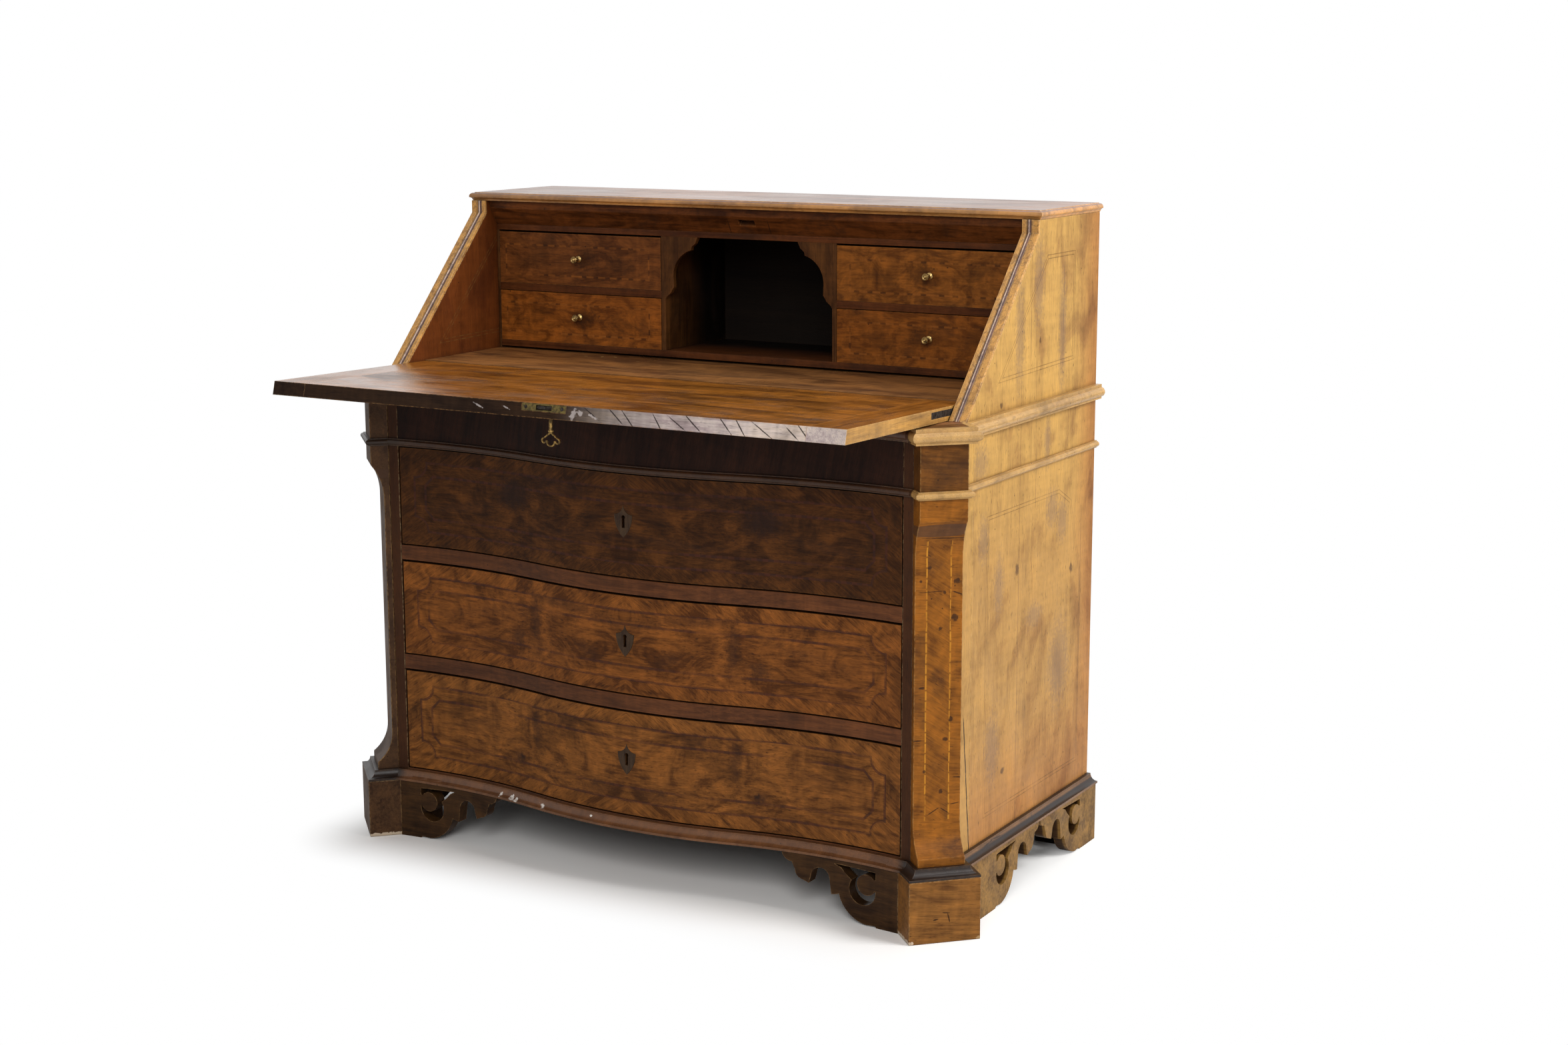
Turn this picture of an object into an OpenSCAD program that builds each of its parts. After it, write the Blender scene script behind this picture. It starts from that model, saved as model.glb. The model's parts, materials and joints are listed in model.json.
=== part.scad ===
// Slant-front desk with a serpentine front, canted console corners and pierced bracket feet.
// The back plane, the floor and the middle of the width are the reference planes of the design.

/* [Case] */
// Width over the two side boards
case_w = 1072; // [1040:2:1120]
// Depth from the back plane to the front line at the canted corners
case_d = 548; // [540:2:580]
// Thickness of the side boards
board_t = 28; // [26:1:32]
// Thickness of the back panel
back_t = 12; // [8:1:14]
// Leg of the corner's cant, measured along the side and along the front
cant_leg = 52; // [50:1:54]
// Width of the front stile between a drawer and the cant
stile_w = 18; // [16:1:20]
// Depth of the corner post, measured from the front line
post_d = 91; // [90:1:96]
// Depth of the rails between the drawers, measured from the front line
rail_d = 58; // [50:1:70]
// Width of the glue blocks behind the rear feet
rear_block_w = 62; // [50:1:66]

/* [Serpentine front] */
// Radius of the bow and of the two hollows
bow_r = 840; // [800:10:900]
// Distance of each hollow's deepest point from the middle
hollow_x = 370; // [360:2:380]

/* [Heights] */
// Height of the bracket feet
base_h = 97; // [90:1:110]
// Height of the bottom rail over the feet
base_rail_h = 17.5; // [16:0.5:20]
// Height of the bottom long drawer's opening
low_open_h = 172.5; // [150:0.5:190]
// Height of the middle long drawer's opening
mid_open_h = 161.5; // [140:0.5:180]
// Height of the top long drawer's opening
high_open_h = 167; // [140:0.5:180]
// Height of the rails between the long drawers
rail_h = 24.75; // [20:0.25:30]
// Height of the frieze over the long drawers
frieze_h = 80; // [76:1:90]
// Height of the ledge that carries the open fall
ledge_h = 23.6; // [23:0.2:26]

/* [Mouldings] */
// Projection of the base moulding
base_out = 19; // [18:0.5:20]
// Height of the base moulding
base_mould_h = 15.5; // [15:0.5:17]
// Height of the astragal under the frieze
astragal_h = 12; // [11:0.5:13]
// Projection of the astragal under the frieze
astragal_out = 8; // [7:0.5:10]
// Projection of the nose under the fall
waist_out = 16; // [14:0.5:18]
// Projection of the bracket feet beyond the case
bracket_out = 16; // [14:0.5:18]
// Thickness of the pierced brackets
bracket_t = 20; // [17:1:22]

/* [Corner consoles] */
// Width of a console and of its frieze block
block_w = 74; // [72:1:76]
// Projection of the frieze block from the cant
block_out = 30; // [26:1:34]
// Setback of the console's shaft behind the block
shaft_in = 20; // [16:1:22]
// Height of the plain part of the block under the frieze
block_drop = 33; // [28:1:40]
// Height of the cove at the head of the shaft
head_cove_h = 56; // [50:1:64]
// Height of the flare at the foot of the shaft
foot_flare_h = 50; // [44:1:56]
// Height of the plinth band under the flare
plinth_h = 12; // [8:1:16]
// Projection of the plinth band beyond the block
plinth_out = 5; // [3:0.5:6]

/* [Fall] */
// Length of the fall's writing face, from the pivot to its front edge
fall_len = 337; // [325:1:350]
// Height of the writing face over the pivot
fall_over = 9; // [8:0.5:10]
// Depth of the outer face under the pivot
fall_under = 12; // [11:0.5:13]
// Length of the tail behind the pivot
fall_tail = 35; // [30:1:36]
// Extra length of the outer face, which bevels the front edge
fall_bevel = 5; // [4:0.5:7]
// Rise of the open fall towards the front, in degrees
fall_tilt = 1.4; // [1:0.1:2]
// Slope of the closed fall from the horizontal, in degrees
slant_angle = 46.3; // [45:0.1:48]
// Distance of the pivot behind the front line
pivot_in = 94; // [93:1:100]
// Width of the cleats across the fall's ends
cleat_w = 62; // [50:1:70]
// Radius of the iron pivot pins
pin_r = 4; // [3:0.25:4.5]
// Depth of the pivot bores in the sides
bore_depth = 13; // [11:1:16]
// Sideways place of the lock, its key and the strike
lock_x = 7; // [0:1:12]
// Distance of the key from the fall's front edge
key_setback = 16; // [14:1:19]
// Travel of the lock's bolt
bolt_travel = 8; // [6:0.5:8]

/* [Interior] */
// Depth that the slant moulding stands over the closed fall
slant_reveal = 3; // [2:0.5:4]
// Height of the moulding planted on the slanted edge
slant_mould_h = 5; // [4:0.5:6]
// Gap under the front edge of the gallery
gallery_lift = 3.5; // [3:0.5:5]
// Thickness of the gallery's floor
gallery_floor_t = 10.9; // [9:0.1:12]
// Height of the lower small drawers' opening
small_open_h = 88; // [80:1:92]
// Thickness of the shelf between the small drawers
shelf_t = 12.4; // [10:0.2:14]
// Thickness of the gallery's top
gallery_top_t = 10; // [8:0.5:12]
// Thickness of the gallery's end panels
gallery_end_t = 4.5; // [4:0.5:6]
// Thickness of the two dividers
divider_t = 8; // [6:0.5:10]
// Half width of the pigeonhole
hole_half_w = 160; // [150:1:170]
// Thickness of the writing board
writing_t = 20; // [18:0.5:22]
// Half width of the well's sliding cover
cover_half_w = 164.5; // [160:0.5:170]
// Thickness of the well's sliding cover
cover_t = 8.4; // [7:0.1:9]
// Distance of the cover's front edge from the gallery's front
cover_reach = 159; // [140:1:170]
// Wall of the well box
well_wall = 8; // [6:0.5:10]

/* [Top] */
// Thickness of the top board
top_t = 14; // [13:0.5:16]
// Overhang of the top board beyond the sides
top_out = 5.7; // [5:0.1:8]
// Height of the fascia over the fall's strike
fascia_h = 13; // [11:0.5:15]

/* [Drawers] */
// Thickness of the long drawers' fronts
front_t = 26; // [22:1:28]
// Thickness of the long drawers' sides and backs
drawer_side_t = 12; // [10:1:14]
// Thickness of the drawer bottoms
drawer_floor_t = 8; // [6:0.5:10]
// Thickness of the small drawers' fronts
small_front_t = 12; // [10:0.5:14]
// Thickness of the small drawers' sides
small_side_t = 6; // [5:0.5:8]
// Diameter of the small drawers' knobs
knob_d = 12; // [10:0.5:14]
// Projection of the small drawers' knobs
knob_out = 19; // [16:0.5:21]

/* [Clearances] */
// Gap at each side of a long drawer's front
drawer_gap = 2; // [1.5:0.1:3]
// Gap above a long drawer's front
drawer_head_gap = 3.5; // [2.5:0.1:4]
// Gap between a running piece and the piece that carries it
seat_gap = 0.3; // [0.2:0.05:0.5]
// Gap round a small drawer's front
small_gap = 1; // [0.8:0.1:1.5]
// Gap over the upper small drawers
small_head_gap = 3; // [2:0.5:4]
// Gap at each end of the fall
fall_gap = 2; // [1.5:0.1:4]
// Gap behind the open fall's tail
tail_gap = 2.5; // [2:0.1:4]
// Gap between the closed fall's front edge and the strike
strike_gap = 1; // [0.6:0.1:1.5]
// Radial clearance of a pin in its bore
pin_fit = 0.05; // [0.03:0.01:0.08]
// Gap round a piece that is let into wood
let_in_fit = 0.1; // [0.05:0.05:0.2]
// Hairline left between glued pieces
glue_line = 0.02; // [0.01:0.01:0.05]

/* [Hidden] */

// Segments of the large arcs, and of small turned shapes
large_fn = 360;
small_fn = 64;
// Excess of a cutting shape past the face that it cuts
over = 1;
walnut = "#7a4a22";
dark_walnut = "#4d2c18";
gold_walnut = "#b98446";
poplar = "#a58457";
iron = "#4a4440";
brass = "#9c7a3c";

// Heights, from the floor up
low_z = base_h + base_rail_h;
mid_z = low_z + low_open_h + rail_h;
high_z = mid_z + mid_open_h + rail_h;
frieze_z = high_z + high_open_h;
waist_z = frieze_z + frieze_h;
ledge_z = waist_z + ledge_h;

// Half widths
half_w = case_w / 2;
inner_w = half_w - board_t;
cant_x = half_w - cant_leg;
post_x = cant_x - stile_w;

// Serpentine line: centre of a hollow, centre of the bow, half angle of the bow
hollow_cy = -case_d - sqrt(bow_r * bow_r - (cant_x - hollow_x) * (cant_x - hollow_x));
bow_cy = hollow_cy + sqrt(4 * bow_r * bow_r - hollow_x * hollow_x);
bow_angle = asin(hollow_x / (2 * bow_r));
bow_front = bow_cy - bow_r;

// Middle of the right frieze block's face
cant_shift = cant_leg / 2;
block_x = half_w - cant_shift + block_out * sqrt(0.5);
block_y = -case_d + cant_shift - block_out * sqrt(0.5);
// Room in front of the front line that cutting shapes reach through
front_room = 60;
post_back = -case_d + post_d;
rail_back = -case_d + rail_d;
// Bottoms and heights of the long drawers' openings
open_z = [low_z, mid_z, high_z];
open_h = [low_open_h, mid_open_h, high_open_h];

// Pivot of the fall: its outer face clears the ledge's rear edge by the seat gap
ledge_overlap = 38;
pivot_y = -case_d + pivot_in;
ledge_back = pivot_y - ledge_overlap;
pivot_z = ledge_z + seat_gap + fall_under * cos(fall_tilt) - ledge_overlap * sin(fall_tilt);
writing_z = pivot_z + fall_over;
fall_half_w = inner_w - fall_gap;
key_in = fall_len - key_setback;
// Along the closed fall, and square to its outer face, both as [y, z]
slant_dir = [cos(slant_angle), sin(slant_angle)];
slant_up = [-sin(slant_angle), cos(slant_angle)];
function on_slant(a, b) = [pivot_y, pivot_z] + a * slant_dir - b * slant_up;
// Lap of the fascia behind the closed fall, and of the strike rail's facet below it
strike_lap = 2;
facet_lap = 12;
// Front edge of the closed fall
shut_inner = on_slant(fall_len, fall_over);
shut_outer = on_slant(fall_len + fall_bevel, -fall_under);
bevel_len = norm(shut_outer - shut_inner);
bevel_dir = (shut_outer - shut_inner) / bevel_len;
bevel_angle = atan(fall_bevel / (fall_over + fall_under));
strike_pt = shut_inner + strike_gap * [bevel_dir[1], -bevel_dir[0]];
function strike_at(z) = strike_pt[0] + (z - strike_pt[1]) * bevel_dir[0] / bevel_dir[1];

// Heights round the strike and the top
fascia_z = shut_outer[1] - strike_lap;
top_z = fascia_z + fascia_h;
fascia_y = strike_at(fascia_z);
gallery_top_z = shut_inner[1] - facet_lap;
gallery_y = strike_at(gallery_top_z);

// Gallery and writing board
gallery_floor_z = writing_z + gallery_lift;
small_low_z = gallery_floor_z + gallery_floor_t;
small_high_z = small_low_z + small_open_h + shelf_t;
gallery_under_z = gallery_top_z - gallery_top_t;
small_high_h = gallery_under_z - small_high_z;
divider_x = hole_half_w + divider_t;
gallery_x = inner_w - gallery_end_t;
writing_front = pivot_y + fall_tail + tail_gap;
// The cover runs on under the gallery's floor, and laps the well's edges
cover_tail = 37;
cover_lap = 12;
cover_gap = 0.5;
cover_front = gallery_y - cover_reach;
cover_len = cover_reach + cover_tail;
well_half_w = cover_half_w - cover_lap;
well_front = cover_front + cover_lap;
well_back = gallery_y - 5;
kick_t = 12;
well_floor_z = frieze_z + kick_t;

// Fall's front reach sets the middle of the depth
fall_reach = -pivot_y + (fall_len + fall_bevel) * cos(fall_tilt) + fall_under * sin(fall_tilt);
back_y = fall_reach / 2;

// Fall lock
lock_b = 3;
lock_half_w = 27;
lock_t = 7.8;
lock_wall = 1.2;
// Reach of the lock's case behind the key
lock_reach = 34;
lock_back = key_in - lock_reach;
bolt_w = 26;
bolt_t = 5;
key_r = 2.9;
key_bit = 7.5;
bit_t = 2.4;
bit_room = 0.5;
bolt_window_front = key_in + key_bit + bit_room;
bolt_window_back = key_in - key_bit - bolt_travel - bit_room;
selvedge_w = 78;
selvedge_h = 11;
selvedge_t = 2;
pivot_plate_t = 3;
pivot_plate_h = 10;
pivot_plate_len = 112;
screw_r = 1.6;
screw_head_r = 2.9;
slot_w = 0.9;
slot_depth = 0.7;

// Long drawers
drawer_half_w = post_x - drawer_gap;
drawer_recess = 1;
box_half_w = drawer_half_w - 1;
// Room left behind a long drawer, and height that its sides stay under the front's top
drawer_back_room = 28;
side_drop = 6;
box_back = -back_t - drawer_back_room;
guide_h = 30;
dust_t = 12;

module place() translate([0, back_y, 0]) children();

module both() {
    children();
    mirror([1, 0, 0]) children();
}

// Extrudes a [y, z] outline along the width
module across(x0, x1)
    translate([x0, 0, 0]) rotate([90, 0, 90]) linear_extrude(x1 - x0) children();

// Extrudes an [x, z] outline along the depth
module deep(y0, y1)
    translate([0, y1, 0]) rotate([90, 0, 0]) linear_extrude(y1 - y0) children();

module bar(x0, x1, y0, y1, z0, z1)
    translate([x0, y0, z0]) cube([x1 - x0, y1 - y0, z1 - z0]);

// Points of an arc about c, from the angle a0 to a1 in n steps
function turn(a) = [cos(a), sin(a)];
function arc(c, r, a0, a1, n) = [for (i = [0:n]) c + r * turn(a0 + (a1 - a0) * i / n)];

// Plan of what lies behind the serpentine line moved out by p, as far back as y
module serpentine(p, reach, y) {
    turn_x = hollow_x * (bow_r + p) / (2 * bow_r);
    low_y = -case_d - front_room;
    difference() {
        translate([-reach, low_y]) square([2 * reach, y - low_y]);
        for (s = [-1, 1])
            translate([s * hollow_x, hollow_cy]) circle(r = bow_r - p, $fn = large_fn);
        difference() {
            translate([-turn_x, low_y - over]) square([2 * turn_x, case_d]);
            translate([0, bow_cy]) circle(r = bow_r + p, $fn = large_fn);
        }
    }
}

// Band of thickness t whose face lies p outside the serpentine line
module serpentine_band(p, t, reach) difference() {
    serpentine(p, reach, post_back);
    serpentine(p - t, reach + over, post_back + over);
}

// Local frame of the right cant: x along the face, y inward, origin on the frieze block's face
module cant() translate([block_x, block_y]) rotate(45) children();

module cant_square(w, front, back) translate([-w / 2, front]) square([w, back - front]);

// Plan of the case's front between the two side faces, canted corners included
module front_plan(y) difference() {
    serpentine(0, half_w, y);
    both() polygon([front_corner, side_corner, side_corner + [over, 0],
        [half_w + over, -2 * case_d], [cant_x, -2 * case_d]]);
}

// Where the serpentine line and the side meet the right console's flanks, and the mitres there
front_corner = [cant_x, -case_d];
side_corner = [half_w, -case_d + cant_leg];
flank = [sqrt(0.5), sqrt(0.5)];
function mitre(n1, n2) = (n1 + n2) / (1 + n1 * n2);
front_mitre = mitre(([hollow_x, hollow_cy] - front_corner) / bow_r, -flank);
side_mitre = mitre([1, 0], flank);
mitre_reach = 80;

module upright(outline)
    translate([0, 0, base_h - over]) linear_extrude(ledge_z - base_h + 2 * over) polygon(outline);

// Strip that follows the serpentine line in three butted lengths, cut to its two mitres
module front_strip() {
    end_angle = asin((cant_x + base_out - hollow_x) / bow_r);
    joint_angle = glue_line / bow_r * 180 / PI;
    start = front_corner - [glue_line, 0];
    near = start - base_out * front_mitre;
    far = start + mitre_reach * front_mitre;
    translate([0, bow_cy, 0]) rotate([0, 0, -90 - bow_angle])
        rotate_extrude(angle = 2 * bow_angle, $fn = large_fn) translate([bow_r, 0]) children();
    both() intersection() {
        translate([hollow_x, hollow_cy, 0]) rotate([0, 0, 90 - end_angle])
            rotate_extrude(angle = end_angle + bow_angle - joint_angle, $fn = large_fn)
            translate([bow_r, 0]) mirror([1, 0]) children();
        upright([near, far, [0, far[1]], [0, near[1]]]);
    }
}

// Strip round the right console's three faces, from mitre to mitre
module console_strip(block_front) difference() {
    near = front_corner + [glue_line, 0];
    far = side_corner - [0, glue_line];
    intersection() {
        cant() across(-block_w, block_w) {
            translate([block_front, 0]) mirror([1, 0]) children();
            translate([block_front, base_h]) square([block_out - block_front, ledge_z - base_h]);
        }
        cant() deep(block_front - 2 * base_out, block_out) {
            translate([block_w / 2, 0]) children();
            translate([-block_w / 2, 0]) mirror([1, 0]) children();
            translate([-block_w / 2, base_h]) square([block_w, ledge_z - base_h]);
        }
        upright([near, near + mitre_reach * front_mitre, [half_w + case_d, -2 * case_d],
            far + mitre_reach * side_mitre, far]);
    }
    cant() translate([0, 0, base_h - 2 * over]) linear_extrude(ledge_z - base_h + 4 * over)
        cant_square(block_w + 2 * glue_line, block_front - glue_line, block_out + over);
}

// Strip along the right side, from its mitre to the back
module side_strip() intersection() {
    start = side_corner + [0, glue_line];
    translate([half_w, 0, 0]) deep(-case_d + cant_leg - base_out, 0) children();
    upright([start - side_mitre, start + mitre_reach * side_mitre, [half_w + case_d, over],
        [half_w - over, over]]);
}

// Plants a [p, z] profile round the front, the two consoles and the sides
module planted(block_front) {
    front_strip() children();
    both() {
        console_strip(block_front) children();
        side_strip() children();
    }
}

module base_profile() {
    lip = base_mould_h * 0.44;
    step = 6.5;
    fillet = 0.5;
    translate([0, base_h]) difference() {
        union() {
            square([base_out, lip]);
            square([base_out - 4 * fillet, base_mould_h - 5 * fillet]);
            square([step, base_mould_h]);
        }
        translate([base_out - 2 * fillet, base_mould_h - fillet])
            circle(r = base_out - 2 * fillet - step, $fn = small_fn);
        translate([base_out - 4 * fillet, lip]) square([base_out, base_mould_h]);
    }
}

module astragal_profile() translate([0, frieze_z - 1]) intersection() {
    bead = astragal_h / 2 - 1.5;
    square([astragal_out + over, astragal_h]);
    union() {
        square([astragal_out - bead, astragal_h]);
        translate([astragal_out - bead, astragal_h / 2]) circle(r = bead, $fn = small_fn);
    }
}

module waist_profile() translate([0, waist_z]) {
    foot_h = 3;
    foot_out = 5;
    head_h = 4.6;
    nose = (ledge_h - foot_h - head_h) / 2;
    square([waist_out - 2 * nose + foot_out, foot_h]);
    square([waist_out - nose, foot_h + 2 * nose]);
    translate([waist_out - nose, foot_h + nose]) circle(r = nose, $fn = small_fn);
    square([waist_out - nose + 2, ledge_h]);
}

// Case

module side_board() difference() {
    across(inner_w, half_w) polygon([[0, base_h], [0, top_z], [head_y, top_z], slant_head, slant_foot(0),
        [ledge_back, ledge_z], [ledge_back, waist_z], [post_back, waist_z], [post_back, base_h]]);
    translate([inner_w - over, pivot_y, pivot_z]) rotate([0, 90, 0])
        cylinder(r = pin_r + pin_fit, h = bore_depth + over, $fn = small_fn);
}

module side_right() color(gold_walnut) place() side_board();

module side_left() color(gold_walnut) place() mirror([1, 0, 0]) side_board();

module back_panel() color(poplar) place() bar(-inner_w, inner_w, -back_t, 0, base_h,
    top_z - glue_line);

// Boards that carry the long drawers, and the kicker board over the top one
module dust_boards() color(poplar) place() {
    for (z = open_z) translate([0, 0, z - dust_t]) linear_extrude(dust_t) difference() {
        translate([-inner_w, rail_back]) square([2 * inner_w, -back_t - rail_back]);
        both() translate([post_x, -case_d]) square([inner_w, post_d]);
    }
    translate([0, 0, frieze_z]) linear_extrude(kick_t) {
        serpentine(-front_t, post_x, -back_t);
        both() translate([post_x - over, post_back])
            square([inner_w - post_x + over, -back_t - post_back]);
    }
}

// Strips that keep the long drawers square to the front
module drawer_guides() color(poplar) place() both() for (z = open_z)
    bar(box_half_w + seat_gap, inner_w, post_back, -back_t, z, z + guide_h);

// The post is notched at its head, where the closing fall's tail sweeps down behind the ledge
sweep_h = 6;

module post() difference() {
    translate([0, 0, base_h]) linear_extrude(waist_z - base_h) intersection() {
        front_plan(post_back);
        translate([post_x, -case_d - front_room]) square([half_w - post_x, front_room + post_d]);
    }
    bar(post_x - over, inner_w, ledge_back - over, post_back + over, waist_z - sweep_h,
        waist_z + over);
}

module corner_post_right() color(dark_walnut) place() post();

module corner_post_left() color(dark_walnut) place() mirror([1, 0, 0]) post();

// Console in [depth, height], with a cove at its head and a flare at its foot
module console_profile() {
    block_z = frieze_z - 1 - block_drop;
    plinth_z = base_h + base_mould_h;
    foot_step = shaft_in + plinth_out;
    head_r = (shaft_in * shaft_in + head_cove_h * head_cove_h) / (2 * shaft_in);
    foot_r = (foot_step * foot_step + foot_flare_h * foot_flare_h) / (2 * foot_step);
    back = block_out - glue_line;
    translate([0, block_z]) square([back, ledge_z - block_z]);
    translate([-plinth_out, base_h]) square([back + plinth_out, base_mould_h + plinth_h]);
    translate([shaft_in, base_h]) square([back - shaft_in, waist_z - base_h]);
    difference() {
        translate([0, block_z - head_cove_h]) square([back, head_cove_h]);
        translate([shaft_in - head_r, block_z - head_cove_h]) circle(r = head_r, $fn = large_fn);
    }
    difference() {
        translate([-plinth_out, plinth_z + plinth_h]) square([back + plinth_out, foot_flare_h]);
        translate([shaft_in - foot_r, plinth_z + plinth_h + foot_flare_h])
            circle(r = foot_r, $fn = large_fn);
    }
}

module console() cant() across(-block_w / 2, block_w / 2) console_profile();

module console_right() color(walnut) place() console();

module console_left() color(walnut) place() mirror([1, 0, 0]) console();

module frieze() color(dark_walnut) place() translate([0, 0, frieze_z]) linear_extrude(frieze_h)
    serpentine_band(0, front_t, post_x);

module drawer_rails() color(dark_walnut) place() {
    for (z = [low_z + low_open_h, mid_z + mid_open_h]) translate([0, 0, z]) linear_extrude(rail_h)
        serpentine(0, post_x, rail_back);
    translate([0, 0, base_h]) linear_extrude(base_rail_h) serpentine(0, post_x, rail_back);
}

// Feet

module foot_plan() {
    cant() cant_square(block_w + 2 * base_out, -plinth_out - base_out, block_out);
    intersection() {
        front_plan(post_back);
        translate([post_x, -case_d - front_room]) square([half_w - post_x, front_room + post_d]);
    }
}

module foot_block() linear_extrude(base_h) foot_plan();

module foot_block_right() color(walnut) place() foot_block();

module foot_block_left() color(walnut) place() mirror([1, 0, 0]) foot_block();

// Lap of a bracket's plain foot under the foot block
foot_lap = 4;

// Scale of the bracket's template, which is drawn for a foot 97 high, and its length
bracket_scale = base_h / 97;
bracket_len = 161 * bracket_scale;

function along(round, a0, a1, n) = arc([round[0], round[1]], round[2], a0, a1, n);

module disc(round) translate([round[0], round[1]]) circle(r = round[2], $fn = small_fn);

// Template of a pierced bracket as [distance, height]: 0 is where the piercing starts, and the
// plain foot runs back from there by its own length. Round parts are [distance, height, radius].
module bracket_outline(foot) scale(bracket_scale) difference() {
    head = [161, 97];
    lobe = [11, 56, 54.5];
    arch = [96, 63, 16];
    cusp = [124, 70, 14.5];
    toe = [144, 99, 17];
    curl = [23, 55, 23];
    eye = [16, 65, 16.5];
    back = -foot / bracket_scale;
    polygon(concat([[back, 0], [-2, 0], [1, 3]], along(lobe, -84, -14, 12),
        [[69, 41], [77, 39.5]], along(arch, 176, 0, 10), [[115.5, 51.5], [127, 56]],
        along(cusp, -70, 0, 5), [[144, 82]], along(toe, -86, -8, 5), [head, [back, head[1]]]));
    difference() {
        union() {
            disc(curl);
            polygon([[0, 76], [0, 87], [72, 89.5], [60, 85], [52, 76.5], [41, 68], [30, 62]]);
        }
        disc(eye);
        polygon([[-2, 57], [9, 57], [12, 66], [0, 76], [-2, 76]]);
    }
}

// Plain feet beside the piercings; the side one reaches to the foot block
front_foot = 49;
rear_foot = 66;
front_pierce_x = cant_x - front_foot - foot_lap;
side_pierce_y = -rear_foot - 2 * bracket_len - 2;
side_foot = case_d - cant_leg + side_pierce_y + foot_lap;

module front_bracket() difference() {
    intersection() {
        deep(-case_d - front_room, post_back) translate([front_pierce_x, 0]) mirror([1, 0])
            bracket_outline(front_foot + bracket_t);
        linear_extrude(base_h) serpentine_band(bracket_out, bracket_t, cant_x + block_out);
    }
    translate([0, 0, -over]) linear_extrude(base_h + 2 * over) foot_plan();
}

module side_brackets() difference() {
    across(half_w + bracket_out - bracket_t, half_w + bracket_out) {
        translate([side_pierce_y, 0]) bracket_outline(side_foot);
        translate([-rear_foot, 0]) mirror([1, 0]) bracket_outline(rear_foot);
    }
    translate([0, 0, -over]) linear_extrude(base_h + 2 * over) foot_plan();
}

module front_bracket_right() color(walnut) place() front_bracket();

module front_bracket_left() color(walnut) place() mirror([1, 0, 0]) front_bracket();

module side_brackets_right() color(walnut) place() side_brackets();

module side_brackets_left() color(walnut) place() mirror([1, 0, 0]) side_brackets();

module rear_foot_blocks() color(poplar) place() both()
    bar(half_w + bracket_out - bracket_t - rear_block_w, half_w + bracket_out - bracket_t,
        -rear_block_w, 0, 0, base_h);

// Mouldings

module base_moulding() color(walnut) place() planted(-plinth_out) base_profile();

module astragal_moulding() color(walnut) place() planted(0) astragal_profile();

module waist_moulding() color(walnut) place() planted(0) waist_profile();

module fall_ledge() color(walnut) place() translate([0, 0, waist_z]) linear_extrude(ledge_h) {
    front_plan(ledge_back);
}

// Moulding on the slanted edge, with a bead between two flat bands
module slant_section() {
    inner_band = 7;
    outer_band = 10;
    bead_r = 4;
    band_drop = 0.6;
    quirk_drop = 2.2;
    bead_x = (board_t - outer_band + inner_band) / 2;
    square([board_t, slant_mould_h - quirk_drop]);
    translate([board_t - outer_band, 0]) square([outer_band, slant_mould_h - band_drop]);
    square([inner_band, slant_mould_h - band_drop]);
    translate([bead_x, slant_mould_h - bead_r]) circle(r = bead_r, $fn = small_fn);
}

// Foot and head of the side board's slanted edge, and the direction of the mitre at its head
function slant_edge(up) = on_slant(0, -fall_under) + (slant_reveal - slant_mould_h + up) * slant_up;
function slant_foot(up) = slant_edge(up) + (ledge_z - slant_edge(up)[1]) / slant_dir[1] * slant_dir;
head_y = strike_at(top_z) - strike_lap;
slant_head = slant_edge(0) + (head_y - slant_edge(0)[0]) / slant_dir[0] * slant_dir;
mitre_dir = [-1, tan(45 - slant_angle / 2)];

module slant_moulding() {
    room = 2 * slant_mould_h;
    intersection() {
        translate([inner_w, slant_head[0], slant_head[1]]) rotate([slant_angle, 0, 0]) rotate([90, 0, 0])
            translate([0, 0, -room]) linear_extrude(fall_len + cant_leg) slant_section();
        across(inner_w, half_w)
            polygon([slant_foot(0), slant_head, slant_head + room * mitre_dir, slant_foot(room)]);
    }
    intersection() {
        translate([inner_w, head_y, slant_head[1]]) mirror([0, 1, 0])
            linear_extrude(top_z - slant_head[1]) slant_section();
        across(inner_w, half_w)
            polygon([slant_head + [0, glue_line], [head_y, top_z], [head_y - room, top_z],
                slant_head + [0, glue_line] + room * mitre_dir]);
    }
}

module slant_moulding_right() color(gold_walnut) place() slant_moulding();

module slant_moulding_left() color(gold_walnut) place() mirror([1, 0, 0]) slant_moulding();

// Top, strike and interior

// Edge of the top board, its tip at 0: a cavetto, a round nose and a small step over it
top_step = 1.2;
top_nose = top_t / 2 - top_step - 0.3;
nose_points = concat(arc([0.8, 0], top_t * 0.39, 180, 98, 5), [[0, top_t / 2 - 0.8]],
    arc([-top_nose, top_t / 2 + 0.3], top_nose, 0, 90, 6),
    [[-top_nose - 1.7, top_t - top_step], [-top_nose - 1.7, top_t]]);

// Reach of the top board in front of the gallery
top_reach = 33.5;

module top_board() color(gold_walnut) place() translate([0, 0, top_z]) {
    front = gallery_y - top_reach;
    edge = half_w + top_out;
    last = len(nose_points) - 1;
    intersection() {
        across(-edge, edge)
            polygon(concat([for (p = nose_points) [front - p[0], p[1]]], [[0, top_t], [0, 0]]));
        deep(front, 0)
            polygon(concat([for (p = nose_points) [edge + p[0], p[1]]],
                [for (i = [last:-1:0]) [-edge - nose_points[i][0], nose_points[i][1]]]));
    }
}

// Depth of the strike rail at its foot, and the room round the shot bolt in its pocket
strike_rail_d = 26;
pocket_side = 2;
pocket_end = 4;
pocket_room = 3;

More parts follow.
